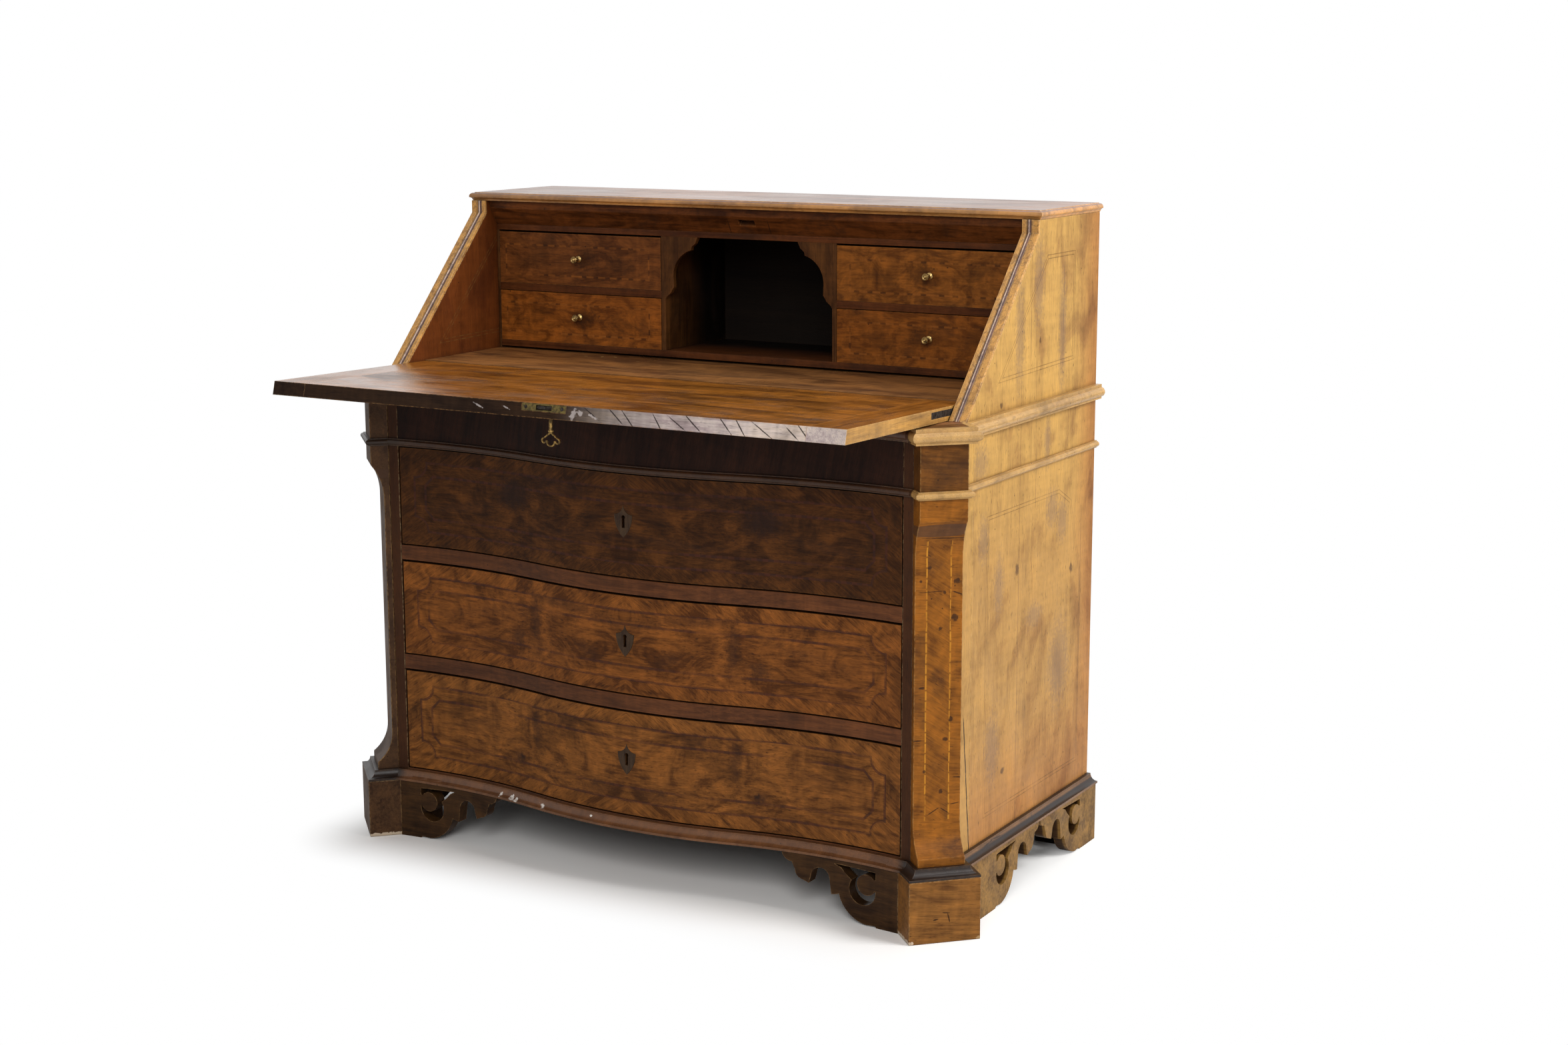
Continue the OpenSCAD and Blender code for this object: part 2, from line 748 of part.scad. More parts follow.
module strike_rail() color(dark_walnut) place() difference() {
    across(-inner_w, inner_w)
        polygon([[fascia_y, top_z], [fascia_y, fascia_z], [gallery_y, gallery_top_z],
            [gallery_y + strike_rail_d, gallery_top_z], [gallery_y + strike_rail_d, top_z]]);
    translate([0, pivot_y, pivot_z]) rotate([180 + slant_angle, 0, 0])
        bar(lock_x - bolt_w / 2 - pocket_side, lock_x + bolt_w / 2 + pocket_side,
            -fall_len - bolt_travel - pocket_end, -fall_len + 2 * pocket_room,
            lock_b - bolt_t / 2 - pocket_room, lock_b + bolt_t / 2 + pocket_room);
}

module writing_board() color(walnut) place() difference() {
    bar(-inner_w, inner_w, writing_front, -back_t, writing_z - writing_t, writing_z);
    bar(-cover_half_w - cover_gap, cover_half_w + cover_gap, cover_front - cover_gap,
        -back_t - cover_gap, writing_z - cover_t - seat_gap, writing_z + over);
    bar(-well_half_w, well_half_w, well_front, well_back, writing_z - writing_t - over, writing_z);
}

module well_box() color(poplar) place() difference() {
    bar(-well_half_w - well_wall, well_half_w + well_wall, well_front - well_wall,
        well_back + well_wall, well_floor_z, writing_z - writing_t);
    bar(-well_half_w, well_half_w, well_front, well_back, well_floor_z + well_wall, writing_z);
}

module well_cover() color(walnut) place()
    bar(-cover_half_w, cover_half_w, cover_front, cover_front + cover_len,
        writing_z - cover_t, writing_z - seat_gap);

module gallery_floor() color(walnut) place()
    bar(-gallery_x, gallery_x, gallery_y, -back_t, gallery_floor_z, small_low_z);

module gallery_top() color(walnut) place()
    bar(-inner_w, inner_w, gallery_y, -back_t, gallery_under_z, gallery_top_z);

module gallery_uprights() color(walnut) place() both() {
    bar(gallery_x, inner_w, gallery_y, -back_t, writing_z, gallery_under_z);
    bar(hole_half_w, divider_x, gallery_y, -back_t, small_low_z, gallery_under_z);
}

module gallery_shelves() color(walnut) place() both()
    bar(divider_x, gallery_x, gallery_y, -back_t, small_high_z - shelf_t, small_high_z);

// Scalloped corner of the pigeonhole, drawn for one 160 wide to its middle and scaled with it
spandrel_t = 9;

module spandrels() color(walnut) place() both() deep(gallery_y, gallery_y + spandrel_t)
    translate([hole_half_w, gallery_under_z]) scale(hole_half_w / 160) {
        scallop = [-62.5, -67, 46.5];
        polygon(concat([[0, 0], [-64, 0]],
            [for (i = [0:4]) [-64 + 4 * (1 - cos(i * 45)) / 2, -2.5 * i]],
            [[-52, -16.5], [-51.3, -20]], along(scallop, 76, -9, 12), [[-16.8, -85], [-12.5, -91]],
            [for (i = [1:5]) [-12.5 + 11.5 * (1 - cos(i * 36)) / 2, -91 - 2.8 * i]], [[0, -105]]));
    }

// Small drawers

// Room behind a small drawer, and height that its sides stay under the front's top
small_back_room = 6;
small_side_drop = 4;
knob_rise = 1;

module small_box(z, h) {
    x0 = divider_x + small_gap;
    x1 = gallery_x - small_gap;
    back = -back_t - small_back_room;
    top = z + h - small_gap;
    difference() {
        union() {
            bar(x0, x1, gallery_y, gallery_y + small_front_t, z + seat_gap, top);
            bar(x0, x1, gallery_y + small_front_t - over, back, z + seat_gap,
                top - small_side_drop);
        }
        bar(x0 + small_side_t, x1 - small_side_t, gallery_y + small_front_t, back - small_side_t,
            z + seat_gap + small_side_t, top + over);
        translate([(x0 + x1) / 2, gallery_y - over, (z + top) / 2 + knob_rise]) rotate([-90, 0, 0])
            cylinder(r = knob_d / 6 + pin_fit, h = small_front_t + 2 * over, $fn = small_fn);
    }
}

// Turned knob: a shank, a collar, a waist and a round head
module small_knob(z, h) {
    top = z + h - small_gap;
    r = knob_d / 2;
    translate([(divider_x + gallery_x) / 2, gallery_y, (z + top) / 2 + knob_rise])
        rotate([90, 0, 0]) rotate_extrude($fn = small_fn) polygon(concat(
            [[0, -small_front_t], [r / 3, -small_front_t], [r / 3, 0], [r * 0.95, 0],
            [r * 0.95, 1.5], [r * 0.7, 2.2]], arc([r * 0.75, 5.5], r * 0.4, -100, -180, 4),
            arc([r * 0.35, knob_out - r], r * 0.65, -60, 60, 8),
            [[r * 0.35, knob_out], [0, knob_out]]));
}

small_low_h = small_open_h;
small_up_h = small_high_h - small_head_gap + small_gap;

module small_drawer_ur() color(walnut) place() small_box(small_high_z, small_up_h);

module small_drawer_ul() color(walnut) place() mirror([1, 0, 0]) small_box(small_high_z, small_up_h);

module small_drawer_lr() color(walnut) place() small_box(small_low_z, small_low_h);

module small_drawer_ll() color(walnut) place() mirror([1, 0, 0]) small_box(small_low_z, small_low_h);

module small_knob_ur() color(brass) place() small_knob(small_high_z, small_up_h);

module small_knob_ul() color(brass) place() mirror([1, 0, 0]) small_knob(small_high_z, small_up_h);

module small_knob_lr() color(brass) place() small_knob(small_low_z, small_low_h);

module small_knob_ll() color(brass) place() mirror([1, 0, 0]) small_knob(small_low_z, small_low_h);

// Long drawers

plate_t = 1.6;
plate_w = 33;
plate_h = 50;
shoulder = 0.21;
keyhole_h = 20;
keyhole_r = 3.4;
keyhole_slot = 5.4;
lock_case_w = 56;
lock_case_h = 44;
lock_case_t = 9;
plate_proud = 0.6;
face_y = bow_front + drawer_recess;

function key_z(i) = open_z[i] + open_h[i] * 0.535;

// Shield with hollow shoulders and a point at its head and foot: a quarter of the width and height
// from the middle, each side is one arc for the shoulder and one for the flank
function shield_side(a, h) = let (
    s = h * shoulder,
    t = h / 2 - s,
    b = h / 2 + s,
    r = (a * a + t * t) / (2 * t),
    k = (b * b - a * a) / (2 * a)
) concat(arc([a, s + r], r, -180 + asin((r - t) / r), -90, 6),
    [for (i = [1:8]) [-k, s] + (k + a) * turn(-asin(b / (k + a)) * i / 8)]);

module shield(w, h) {
    right = shield_side(w / 2, h);
    polygon(concat(right, [for (i = [len(right) - 2:-1:1]) [-right[i][0], right[i][1]]]));
}

module keyhole() {
    translate([0, keyhole_h / 2 - keyhole_r]) circle(r = keyhole_r, $fn = small_fn);
    translate([-keyhole_slot / 2, -keyhole_h / 2]) square([keyhole_slot, keyhole_h - keyhole_r]);
}

module drawer_front(i) difference() {
    translate([0, 0, open_z[i] + drawer_gap])
        linear_extrude(open_h[i] - drawer_gap - drawer_head_gap)
            serpentine_band(-drawer_recess, front_t, drawer_half_w);
    translate([0, 0, key_z(i)]) {
        deep(face_y - over, face_y + plate_t - plate_proud)
            shield(plate_w + 2 * let_in_fit, plate_h + 2 * let_in_fit);
        deep(face_y - over, face_y + front_t + over) keyhole();
        bar(-lock_case_w / 2 - let_in_fit, lock_case_w / 2 + let_in_fit,
            face_y + front_t - lock_case_t, face_y + 2 * front_t,
            -lock_case_h / 2 - let_in_fit, lock_case_h / 2 + let_in_fit);
    }
}

module drawer_box(i) {
    z0 = open_z[i] + seat_gap;
    z1 = open_z[i] + open_h[i] - drawer_head_gap - side_drop;
    inside = box_half_w - drawer_side_t;
    difference() {
        translate([0, 0, z0]) linear_extrude(z1 - z0)
            serpentine(-drawer_recess - front_t, box_half_w, box_back);
        bar(-inside, inside, -2 * case_d, box_back - drawer_side_t, z0 + drawer_floor_t, z1 + over);
    }
}

// Escutcheon let into the face, and the lock let into the back of the front
module drawer_lock(i) translate([0, 0, key_z(i)]) {
    deep(face_y - plate_proud, face_y + plate_t - plate_proud) difference() {
        shield(plate_w, plate_h);
        keyhole();
    }
    difference() {
        bar(-lock_case_w / 2, lock_case_w / 2, face_y + front_t - lock_case_t,
            face_y + front_t - seat_gap, -lock_case_h / 2, lock_case_h / 2);
        deep(face_y, face_y + front_t - lock_case_t / 3) keyhole();
    }
}

module drawer_low_front() color(walnut) place() drawer_front(0);

module drawer_mid_front() color(walnut) place() drawer_front(1);

module drawer_high_front() color(walnut) place() drawer_front(2);

module drawer_low_box() color(poplar) place() drawer_box(0);

module drawer_mid_box() color(poplar) place() drawer_box(1);

module drawer_high_box() color(poplar) place() drawer_box(2);

module drawer_low_lock() color(iron) place() drawer_lock(0);

module drawer_mid_lock() color(iron) place() drawer_lock(1);

module drawer_high_lock() color(iron) place() drawer_lock(2);

// Fall: built about its pivot, with y running back from the pivot

module fall_frame() translate([0, pivot_y, pivot_z]) rotate([-fall_tilt, 0, 0]) children();

// Frame on the bevelled front edge: z up the edge, y into the fall, on the lock's middle line
edge_y = -fall_len - fall_bevel * (fall_over - lock_b) / (fall_over + fall_under);

module edge_frame()
    translate([lock_x, edge_y, lock_b]) rotate([-bevel_angle, 0, 0]) children();

// Chamfer under the tail, and the tongue that joins a cleat to the panel
tail_bevel = 4;
tongue_t = 7;
tongue_w = 12;
tongue_in = 14;

module fall_outline() polygon([[-fall_len, fall_over], [fall_tail, fall_over],
    [fall_tail, tail_bevel - fall_under], [fall_tail - tail_bevel, -fall_under],
    [-fall_len - fall_bevel, -fall_under]]);

module tongue_outline(fit) translate([-fall_len + tongue_in - fit, -tongue_t / 2 - fit])
    square([fall_len + fall_tail - 2 * tongue_in + 2 * fit, tongue_t + 2 * fit]);

module key_bore(fit, z0, z1) translate([lock_x, -key_in, z0]) linear_extrude(z1 - z0) {
    circle(r = key_r + fit, $fn = small_fn);
    translate([-bit_t / 2 - fit, 0]) square([bit_t + 2 * fit, key_bit + fit]);
}

module lock_space(fit)
    bar(lock_x - lock_half_w - fit, lock_x + lock_half_w + fit, -fall_len - fall_bevel - over,
        -lock_back + fit, lock_b - lock_t / 2 - fit, lock_b + lock_t / 2 + fit);

// Holes for the selvedge's screws, and where they stand
selvedge_screw = selvedge_w / 2 - 7;
screw_hole = 13;
screw_len = 11;
head_in = 0.4;
key_room = 0.3;

module fall_panel() color(walnut) place() fall_frame() difference() {
    union() {
        across(-fall_half_w + cleat_w, fall_half_w - cleat_w) fall_outline();
        across(-fall_half_w + cleat_w - tongue_w, fall_half_w - cleat_w + tongue_w)
            tongue_outline(0);
    }
    lock_space(let_in_fit);
    edge_frame() bar(-selvedge_w / 2, selvedge_w / 2, -over, selvedge_t, -selvedge_h / 2, selvedge_h / 2);
    key_bore(key_room, -fall_under - over, lock_b);
    for (s = [-1, 1])
        edge_frame() translate([s * selvedge_screw, selvedge_t - over, 0]) rotate([-90, 0, 0])
            cylinder(r = screw_r, h = screw_hole, $fn = small_fn);
}

module fall_cleats() color(gold_walnut) place() fall_frame() both() difference() {
    across(fall_half_w - cleat_w, fall_half_w) fall_outline();
    across(fall_half_w - cleat_w - over, fall_half_w - cleat_w + tongue_w + let_in_fit)
        tongue_outline(let_in_fit);
    pivot_plate(over);
    for (y = pivot_screws) translate([fall_half_w - screw_hole, y, 0]) rotate([0, 90, 0])
        cylinder(r = screw_r, h = screw_hole, $fn = small_fn);
}

// End plate let into a cleat, with its pivot pin, and the places of its screws
plate_back = fall_tail - 6;
pivot_screws = [plate_back - pivot_plate_len + 11, plate_back - 11];

module pivot_plate(out)
    bar(fall_half_w - pivot_plate_t, fall_half_w + out, plate_back - pivot_plate_len, plate_back,
        -pivot_plate_h / 2, pivot_plate_h / 2);

module fall_pivots() color(iron) place() fall_frame() both() difference() {
    union() {
        pivot_plate(0);
        translate([fall_half_w - pivot_plate_t, 0, 0]) rotate([0, 90, 0])
            cylinder(r = pin_r, h = pivot_plate_t + fall_gap + bore_depth - 1, $fn = small_fn);
    }
    for (y = pivot_screws)
        translate([fall_half_w - pivot_plate_t - over, y, 0]) rotate([0, 90, 0])
            cylinder(r = screw_head_r, h = pivot_plate_t + 2 * over, $fn = small_fn);
}

module screw() difference() {
    union() {
        cylinder(r = screw_r, h = screw_len, $fn = small_fn);
        cylinder(r = screw_head_r, h = selvedge_t - head_in, $fn = small_fn);
    }
    translate([-slot_w / 2, -screw_head_r - over, -over])
        cube([slot_w, 2 * (screw_head_r + over), over + slot_depth]);
}

module fall_screws() color(iron) place() fall_frame() {
    both() for (y = pivot_screws)
        translate([fall_half_w - head_in, y, 0]) rotate([0, -90, 0]) screw();
    for (s = [-1, 1])
        edge_frame() translate([s * selvedge_screw, head_in, 0]) rotate([-90, 0, 0]) screw();
}

// Room round the bolt in the selvedge
bolt_room = 1;

module fall_selvedge() color(brass) place() fall_frame() edge_frame() difference() {
    bar(-selvedge_w / 2, selvedge_w / 2, 0, selvedge_t, -selvedge_h / 2, selvedge_h / 2);
    bar(-bolt_w / 2 - bolt_room, bolt_w / 2 + bolt_room, -over, selvedge_t + over,
        -bolt_t / 2 - bolt_room, bolt_t / 2 + bolt_room);
    for (s = [-1, 1]) translate([s * selvedge_screw, -over, 0]) rotate([-90, 0, 0])
        cylinder(r = screw_head_r, h = selvedge_t + 2 * over, $fn = small_fn);
}

// Lock let into the front edge, open towards the bolt's slot
bolt_fit = 0.2;

module fall_lock() color(iron) place() fall_frame() difference() {
    intersection() {
        lock_space(0);
        bar(lock_x - lock_half_w, lock_x + lock_half_w, -fall_len + selvedge_t, -lock_back,
            -fall_under, fall_over);
    }
    bar(lock_x - bolt_w / 2 - 2 * bolt_fit, lock_x + bolt_w / 2 + 2 * bolt_fit, -fall_len - over,
        -lock_back - lock_wall, lock_b - bolt_t / 2 - bolt_fit, lock_b + bolt_t / 2 + bolt_fit);
    key_bore(key_room, -fall_under, lock_b);
}

module fall_bolt() color(iron) place() fall_frame() difference() {
    bar(lock_x - bolt_w / 2, lock_x + bolt_w / 2, -fall_len, -bolt_window_back + bolt_t,
        lock_b - bolt_t / 2, lock_b + bolt_t / 2);
    bar(lock_x - key_bit - bit_room, lock_x + key_bit + bit_room, -bolt_window_front,
        -bolt_window_back, lock_b - bolt_t / 2 - over, lock_b + bolt_t / 2 + over);
}

// The fall's plate is a smaller shield, so that it stays inside the edge near its keyhole
fall_plate_share = 1.7 * key_setback / plate_h;

module fall_escutcheon() color(brass) place() fall_frame() difference() {
    translate([lock_x, -key_in, -fall_under - plate_proud]) linear_extrude(plate_proud) rotate(180)
        shield(plate_w * fall_plate_share, plate_h * fall_plate_share);
    key_bore(key_room, -fall_under - plate_t, 0);
}

key_drop = 34;
key_bow_w = 33;
key_bow_h = 23;
bow_foot_r = 8;
bow_side_r = 4.5;
bow_wire = 2;
bow_t = 2.8;
collar_out = 1.4;
collar_t = 2.5;

// Outline of the key's bow, with two side lobes and a round foot, drawn in by a distance
module bow_outline(wire) {
    side = key_bow_w / 2 - bow_side_r;
    side_r = bow_side_r - wire;
    side_z = bow_foot_r + 1;
    translate([0, bow_foot_r]) circle(r = bow_foot_r - wire, $fn = small_fn);
    for (s = [-1, 1]) translate([s * side, side_z]) circle(r = side_r, $fn = small_fn);
    polygon([[0, key_bow_h - 1.6 * wire], [-side, side_z + side_r], [-side, side_z],
        [side, side_z], [side, side_z + side_r]]);
}

// Key with a hollow bow, left in the lock under the open fall
module fall_key() color(iron) place() fall_frame() translate([lock_x, -key_in, 0]) {
    translate([0, 0, -key_drop]) {
        cylinder(r = key_r, h = key_drop + lock_b + bolt_t / 2, $fn = small_fn);
        cylinder(r = key_r + collar_out, h = collar_t, $fn = small_fn);
    }
    translate([-bit_t / 2 + key_room / 2, 0, lock_b - bolt_t / 2])
        cube([bit_t - key_room, key_bit - key_room, bolt_t]);
    translate([0, 0, -key_drop - key_bow_h + over]) deep(-bow_t / 2, bow_t / 2) difference() {
        bow_outline(0);
        bow_outline(bow_wire);
    }
}

side_left();
side_right();
back_panel();
dust_boards();
drawer_guides();
corner_post_left();
corner_post_right();
console_left();
console_right();
frieze();
drawer_rails();
foot_block_left();
foot_block_right();
front_bracket_left();
front_bracket_right();
side_brackets_left();
side_brackets_right();
rear_foot_blocks();
base_moulding();
astragal_moulding();
waist_moulding();
fall_ledge();
top_board();
slant_moulding_left();
slant_moulding_right();
strike_rail();
writing_board();
well_box();
gallery_floor();
gallery_top();
gallery_uprights();
gallery_shelves();
spandrels();
fall_panel();
fall_cleats();
fall_pivots();
fall_lock();
fall_selvedge();
fall_screws();
fall_escutcheon();
fall_bolt();
fall_key();
well_cover();
drawer_low_front();
drawer_low_box();
drawer_low_lock();
drawer_mid_front();
drawer_mid_box();
drawer_mid_lock();
drawer_high_front();
drawer_high_box();
drawer_high_lock();
small_drawer_ul();
small_knob_ul();
small_drawer_ur();
small_knob_ur();
small_drawer_ll();
small_knob_ll();
small_drawer_lr();
small_knob_lr();
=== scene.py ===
"""Looks of the slant-front desk: figured walnut with stringing, brass, iron, horn and a studio."""

import json
import logging
import math
from dataclasses import dataclass, field, replace
from enum import Enum
from typing import Any, Callable, Optional, Union

import bmesh
import bpy
from mathutils import Matrix, Vector

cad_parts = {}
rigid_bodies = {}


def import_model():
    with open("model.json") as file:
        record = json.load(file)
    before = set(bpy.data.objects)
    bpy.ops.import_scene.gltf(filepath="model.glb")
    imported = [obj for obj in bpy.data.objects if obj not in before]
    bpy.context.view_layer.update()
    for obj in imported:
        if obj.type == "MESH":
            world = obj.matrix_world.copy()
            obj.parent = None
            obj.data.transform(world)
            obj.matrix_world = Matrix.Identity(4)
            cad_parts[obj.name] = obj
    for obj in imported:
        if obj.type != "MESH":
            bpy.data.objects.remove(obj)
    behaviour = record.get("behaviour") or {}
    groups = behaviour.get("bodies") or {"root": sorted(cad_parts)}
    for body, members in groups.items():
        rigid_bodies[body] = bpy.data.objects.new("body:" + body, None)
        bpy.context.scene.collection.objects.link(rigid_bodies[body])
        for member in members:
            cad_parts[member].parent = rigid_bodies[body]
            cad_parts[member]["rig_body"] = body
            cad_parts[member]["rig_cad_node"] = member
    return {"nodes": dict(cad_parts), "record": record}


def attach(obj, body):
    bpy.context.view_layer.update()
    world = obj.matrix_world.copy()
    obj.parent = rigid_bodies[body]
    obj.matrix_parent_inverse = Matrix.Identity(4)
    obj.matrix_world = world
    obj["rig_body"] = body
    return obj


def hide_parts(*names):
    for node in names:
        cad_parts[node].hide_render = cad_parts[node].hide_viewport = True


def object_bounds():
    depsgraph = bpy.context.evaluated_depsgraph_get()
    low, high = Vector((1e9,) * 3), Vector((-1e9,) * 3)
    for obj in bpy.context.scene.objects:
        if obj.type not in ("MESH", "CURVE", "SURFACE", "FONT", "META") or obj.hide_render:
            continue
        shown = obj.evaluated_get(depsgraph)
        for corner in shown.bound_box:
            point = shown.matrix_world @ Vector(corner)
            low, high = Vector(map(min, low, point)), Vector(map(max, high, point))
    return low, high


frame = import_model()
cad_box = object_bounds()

log = logging.getLogger("desk")

MM = 0.001
# Place of the case's back along Y, from which the drawings of this desk are measured
BACK = cad_box[1][1]
# Values between which a noise mostly lies
NOISE_LOW, NOISE_HIGH = 0.3, 0.7
# Metres by which one step of a finish's seed moves its pattern
SEED_STEP = (1.37, 0.91, 1.73)

Socket = bpy.types.NodeSocket
Colour = Union[tuple[float, float, float, float], Socket]
Point = tuple[float, float, float]


def linear(hex_colour: str) -> tuple[float, float, float, float]:
    """Turns an sRGB hex colour into linear light.

    Args:
        hex_colour: Six hex digits after a hash mark.

    Returns:
        Linear red, green and blue, with an alpha of 1.
    """
    channels = [int(hex_colour[i:i + 2], 16) / 255 for i in (1, 3, 5)]
    red, green, blue = [c / 12.92 if c <= 0.04045 else ((c + 0.055) / 1.055) ** 2.4 for c in channels]
    return red, green, blue, 1.0


def at(x_mm: float, y_mm: float, z_mm: float) -> Point:
    """Returns the place in metres of a point drawn in mm from the case's back and the floor."""
    return x_mm * MM, y_mm * MM + BACK, z_mm * MM


class Graph:
    """Node tree of one material or of the surround."""

    def __init__(self, owner: Union[bpy.types.Material, bpy.types.World]) -> None:
        """Takes a material or world and empties its node tree.

        Args:
            owner: The material or world.
        """
        owner.use_nodes = True
        self.owner = owner
        self.tree = owner.node_tree
        self.tree.nodes.clear()

    def add(
        self, kind: str, inputs: Optional[dict] = None, output: Union[int, str] = 0, **settings: Any
    ) -> Optional[Socket]:
        """Adds one node with its settings and links.

        Args:
            kind: Node type without its ShaderNode prefix.
            inputs: Input name or number, with a socket to link or a value to set.
            output: Name or number of the output wanted.
            **settings: Properties of the node.

        Returns:
            The node's output socket.
        """
        node = self.tree.nodes.new("ShaderNode" + kind)
        for key, value in settings.items():
            setattr(node, key, value)
        for key, value in (inputs or {}).items():
            if isinstance(value, Socket):
                self.tree.links.new(value, node.inputs[key])
            else:
                node.inputs[key].default_value = value
        return node.outputs[output] if len(node.outputs) else None


class Board(Graph):
    """Node tree of a wood, with the coordinates and noises that its lines, marks and zones share."""

    def __init__(self, name: str) -> None:
        """Starts a material on plain object coordinates.

        Args:
            name: Name of the finish.
        """
        super().__init__(bpy.data.materials.new(name))
        self.place = self.add("TexCoord", output="Object")
        self.facing = self.add("TexCoord", output="Normal")
        # Coordinates of lines and marks, and those with X along the grain
        self.drawn = self.place
        self.local = self.place
        # Broad noise of stains and fading, and small noise of ragged edges
        self.broad = self.place
        self.small = self.place


class Grain(Enum):
    """Turn that lays the grain's length along a direction of the desk."""

    ACROSS = (0.0, 0.0, 0.0)
    DEEP = (0.0, 0.0, math.pi / 2)
    UPRIGHT = (0.0, -math.pi / 2, 0.0)
    FEATHER = (0.0, -math.radians(78), 0.0)
    RAKED = (math.radians(46), 0.0, math.pi / 2)
    BORDER = (0.0, math.radians(34), 0.0)
    CANTED = (0.0, math.radians(34), math.pi / 4)
    CANTED_BAND = (0.0, math.radians(6), math.pi / 4)


class Measure(Enum):
    """What tells a zone: a place or a way of facing, its axis, and whether both signs count alike."""

    SIDEWAYS = ("place", "X", True)
    ALONG_X = ("place", "X", False)
    ALONG_Y = ("place", "Y", False)
    ALONG_Z = ("place", "Z", False)
    FACING_SIDE = ("facing", "X", True)
    FACING_FRONT = ("facing", "Y", True)
    FACING_UP = ("facing", "Z", False)


class Corner(Enum):
    """Shape of a stringing line's corners."""

    SQUARE = "square"
    HOLLOW = "hollow"
    CUT = "cut"


class Face(Enum):
    """Pair of axes that a line is drawn on."""

    FRONT = ("X", "Z")
    SIDE = ("Y", "Z")


@dataclass(frozen=True)
class Tones:
    """Colour of a wood, with how far its figure runs lighter and darker."""

    mid: str
    rise: float = 1.4
    fall: float = 0.55

    def three(self) -> list[Colour]:
        """Works out the colours that the figure runs through.

        Returns:
            The light, mid and dark colours; the light one is warmer.
        """
        red, green, blue, _ = linear(self.mid)
        light = (red * self.rise, green * self.rise * 0.98, blue * self.rise * 0.9, 1.0)
        dark = (red * self.fall, green * self.fall * 0.94, blue * self.fall, 1.0)
        return [light, (red, green, blue, 1.0), dark]


@dataclass(frozen=True)
class Zone:
    """Part of a surface with tones of its own, faded in between two values of a measure."""

    measure: Measure
    start: float
    end: float
    tones: Optional[Tones] = None
    within: Optional["Zone"] = None

    def share(self, graph: Board) -> Socket:
        """Measures how far each point lies in the zone.

        Args:
            graph: Wood being made.

        Returns:
            A factor from 0 outside to 1 inside.
        """
        source, axis, both_ways = self.measure.value
        value = graph.add("SeparateXYZ", {"Vector": getattr(graph, source)}, axis)
        if both_ways:
            value = graph.add("Math", {0: value}, operation="ABSOLUTE")
        inside = graph.add(
            "MapRange", {"Value": value, "From Min": self.start, "From Max": self.end},
            interpolation_type="SMOOTHSTEP",
        )
        if self.within is None:
            return inside
        return graph.add("Math", {0: inside, 1: self.within.share(graph)}, operation="MULTIPLY")


@dataclass(frozen=True)
class Mark:
    """Stain, knot, crack or chip: a ragged blob of another colour at one place."""

    place: Point
    size_mm: Point
    colour: str = "#2a1a12"
    strength: float = 0.6
    ragged: float = 0.5
    soft: float = 0.6
    turn: float = 0.0
    about: int = 1

    def paint(self, graph: Board, under: Colour) -> Socket:
        """Paints the mark over a colour, its edge made ragged by the small noise.

        Args:
            graph: Wood being made.
            under: Colour below the mark.

        Returns:
            The colour with the mark.
        """
        rotation = [0.0, 0.0, 0.0]
        rotation[self.about] = math.radians(self.turn)
        near = graph.add(
            "Mapping",
            {
                "Vector": graph.drawn, "Location": self.place, "Rotation": rotation,
                "Scale": [s * MM for s in self.size_mm],
            },
            vector_type="TEXTURE",
        )
        reach = graph.add("VectorMath", {0: near}, "Value", operation="LENGTH")
        rough = graph.add(
            "Math", {0: graph.small, 1: -4 * self.ragged, 2: 2 * self.ragged}, operation="MULTIPLY_ADD"
        )
        edge = graph.add("Math", {0: reach, 1: rough}, operation="ADD")
        outer, inner = 1.0 + self.soft / 2, 1.0 - self.soft / 2
        share = graph.add(
            "MapRange", {"Value": edge, "From Min": outer, "From Max": inner, "To Max": self.strength},
            interpolation_type="SMOOTHSTEP",
        )
        return graph.add("Mix", {0: share, 6: under, 7: linear(self.colour)}, 2, data_type="RGBA")


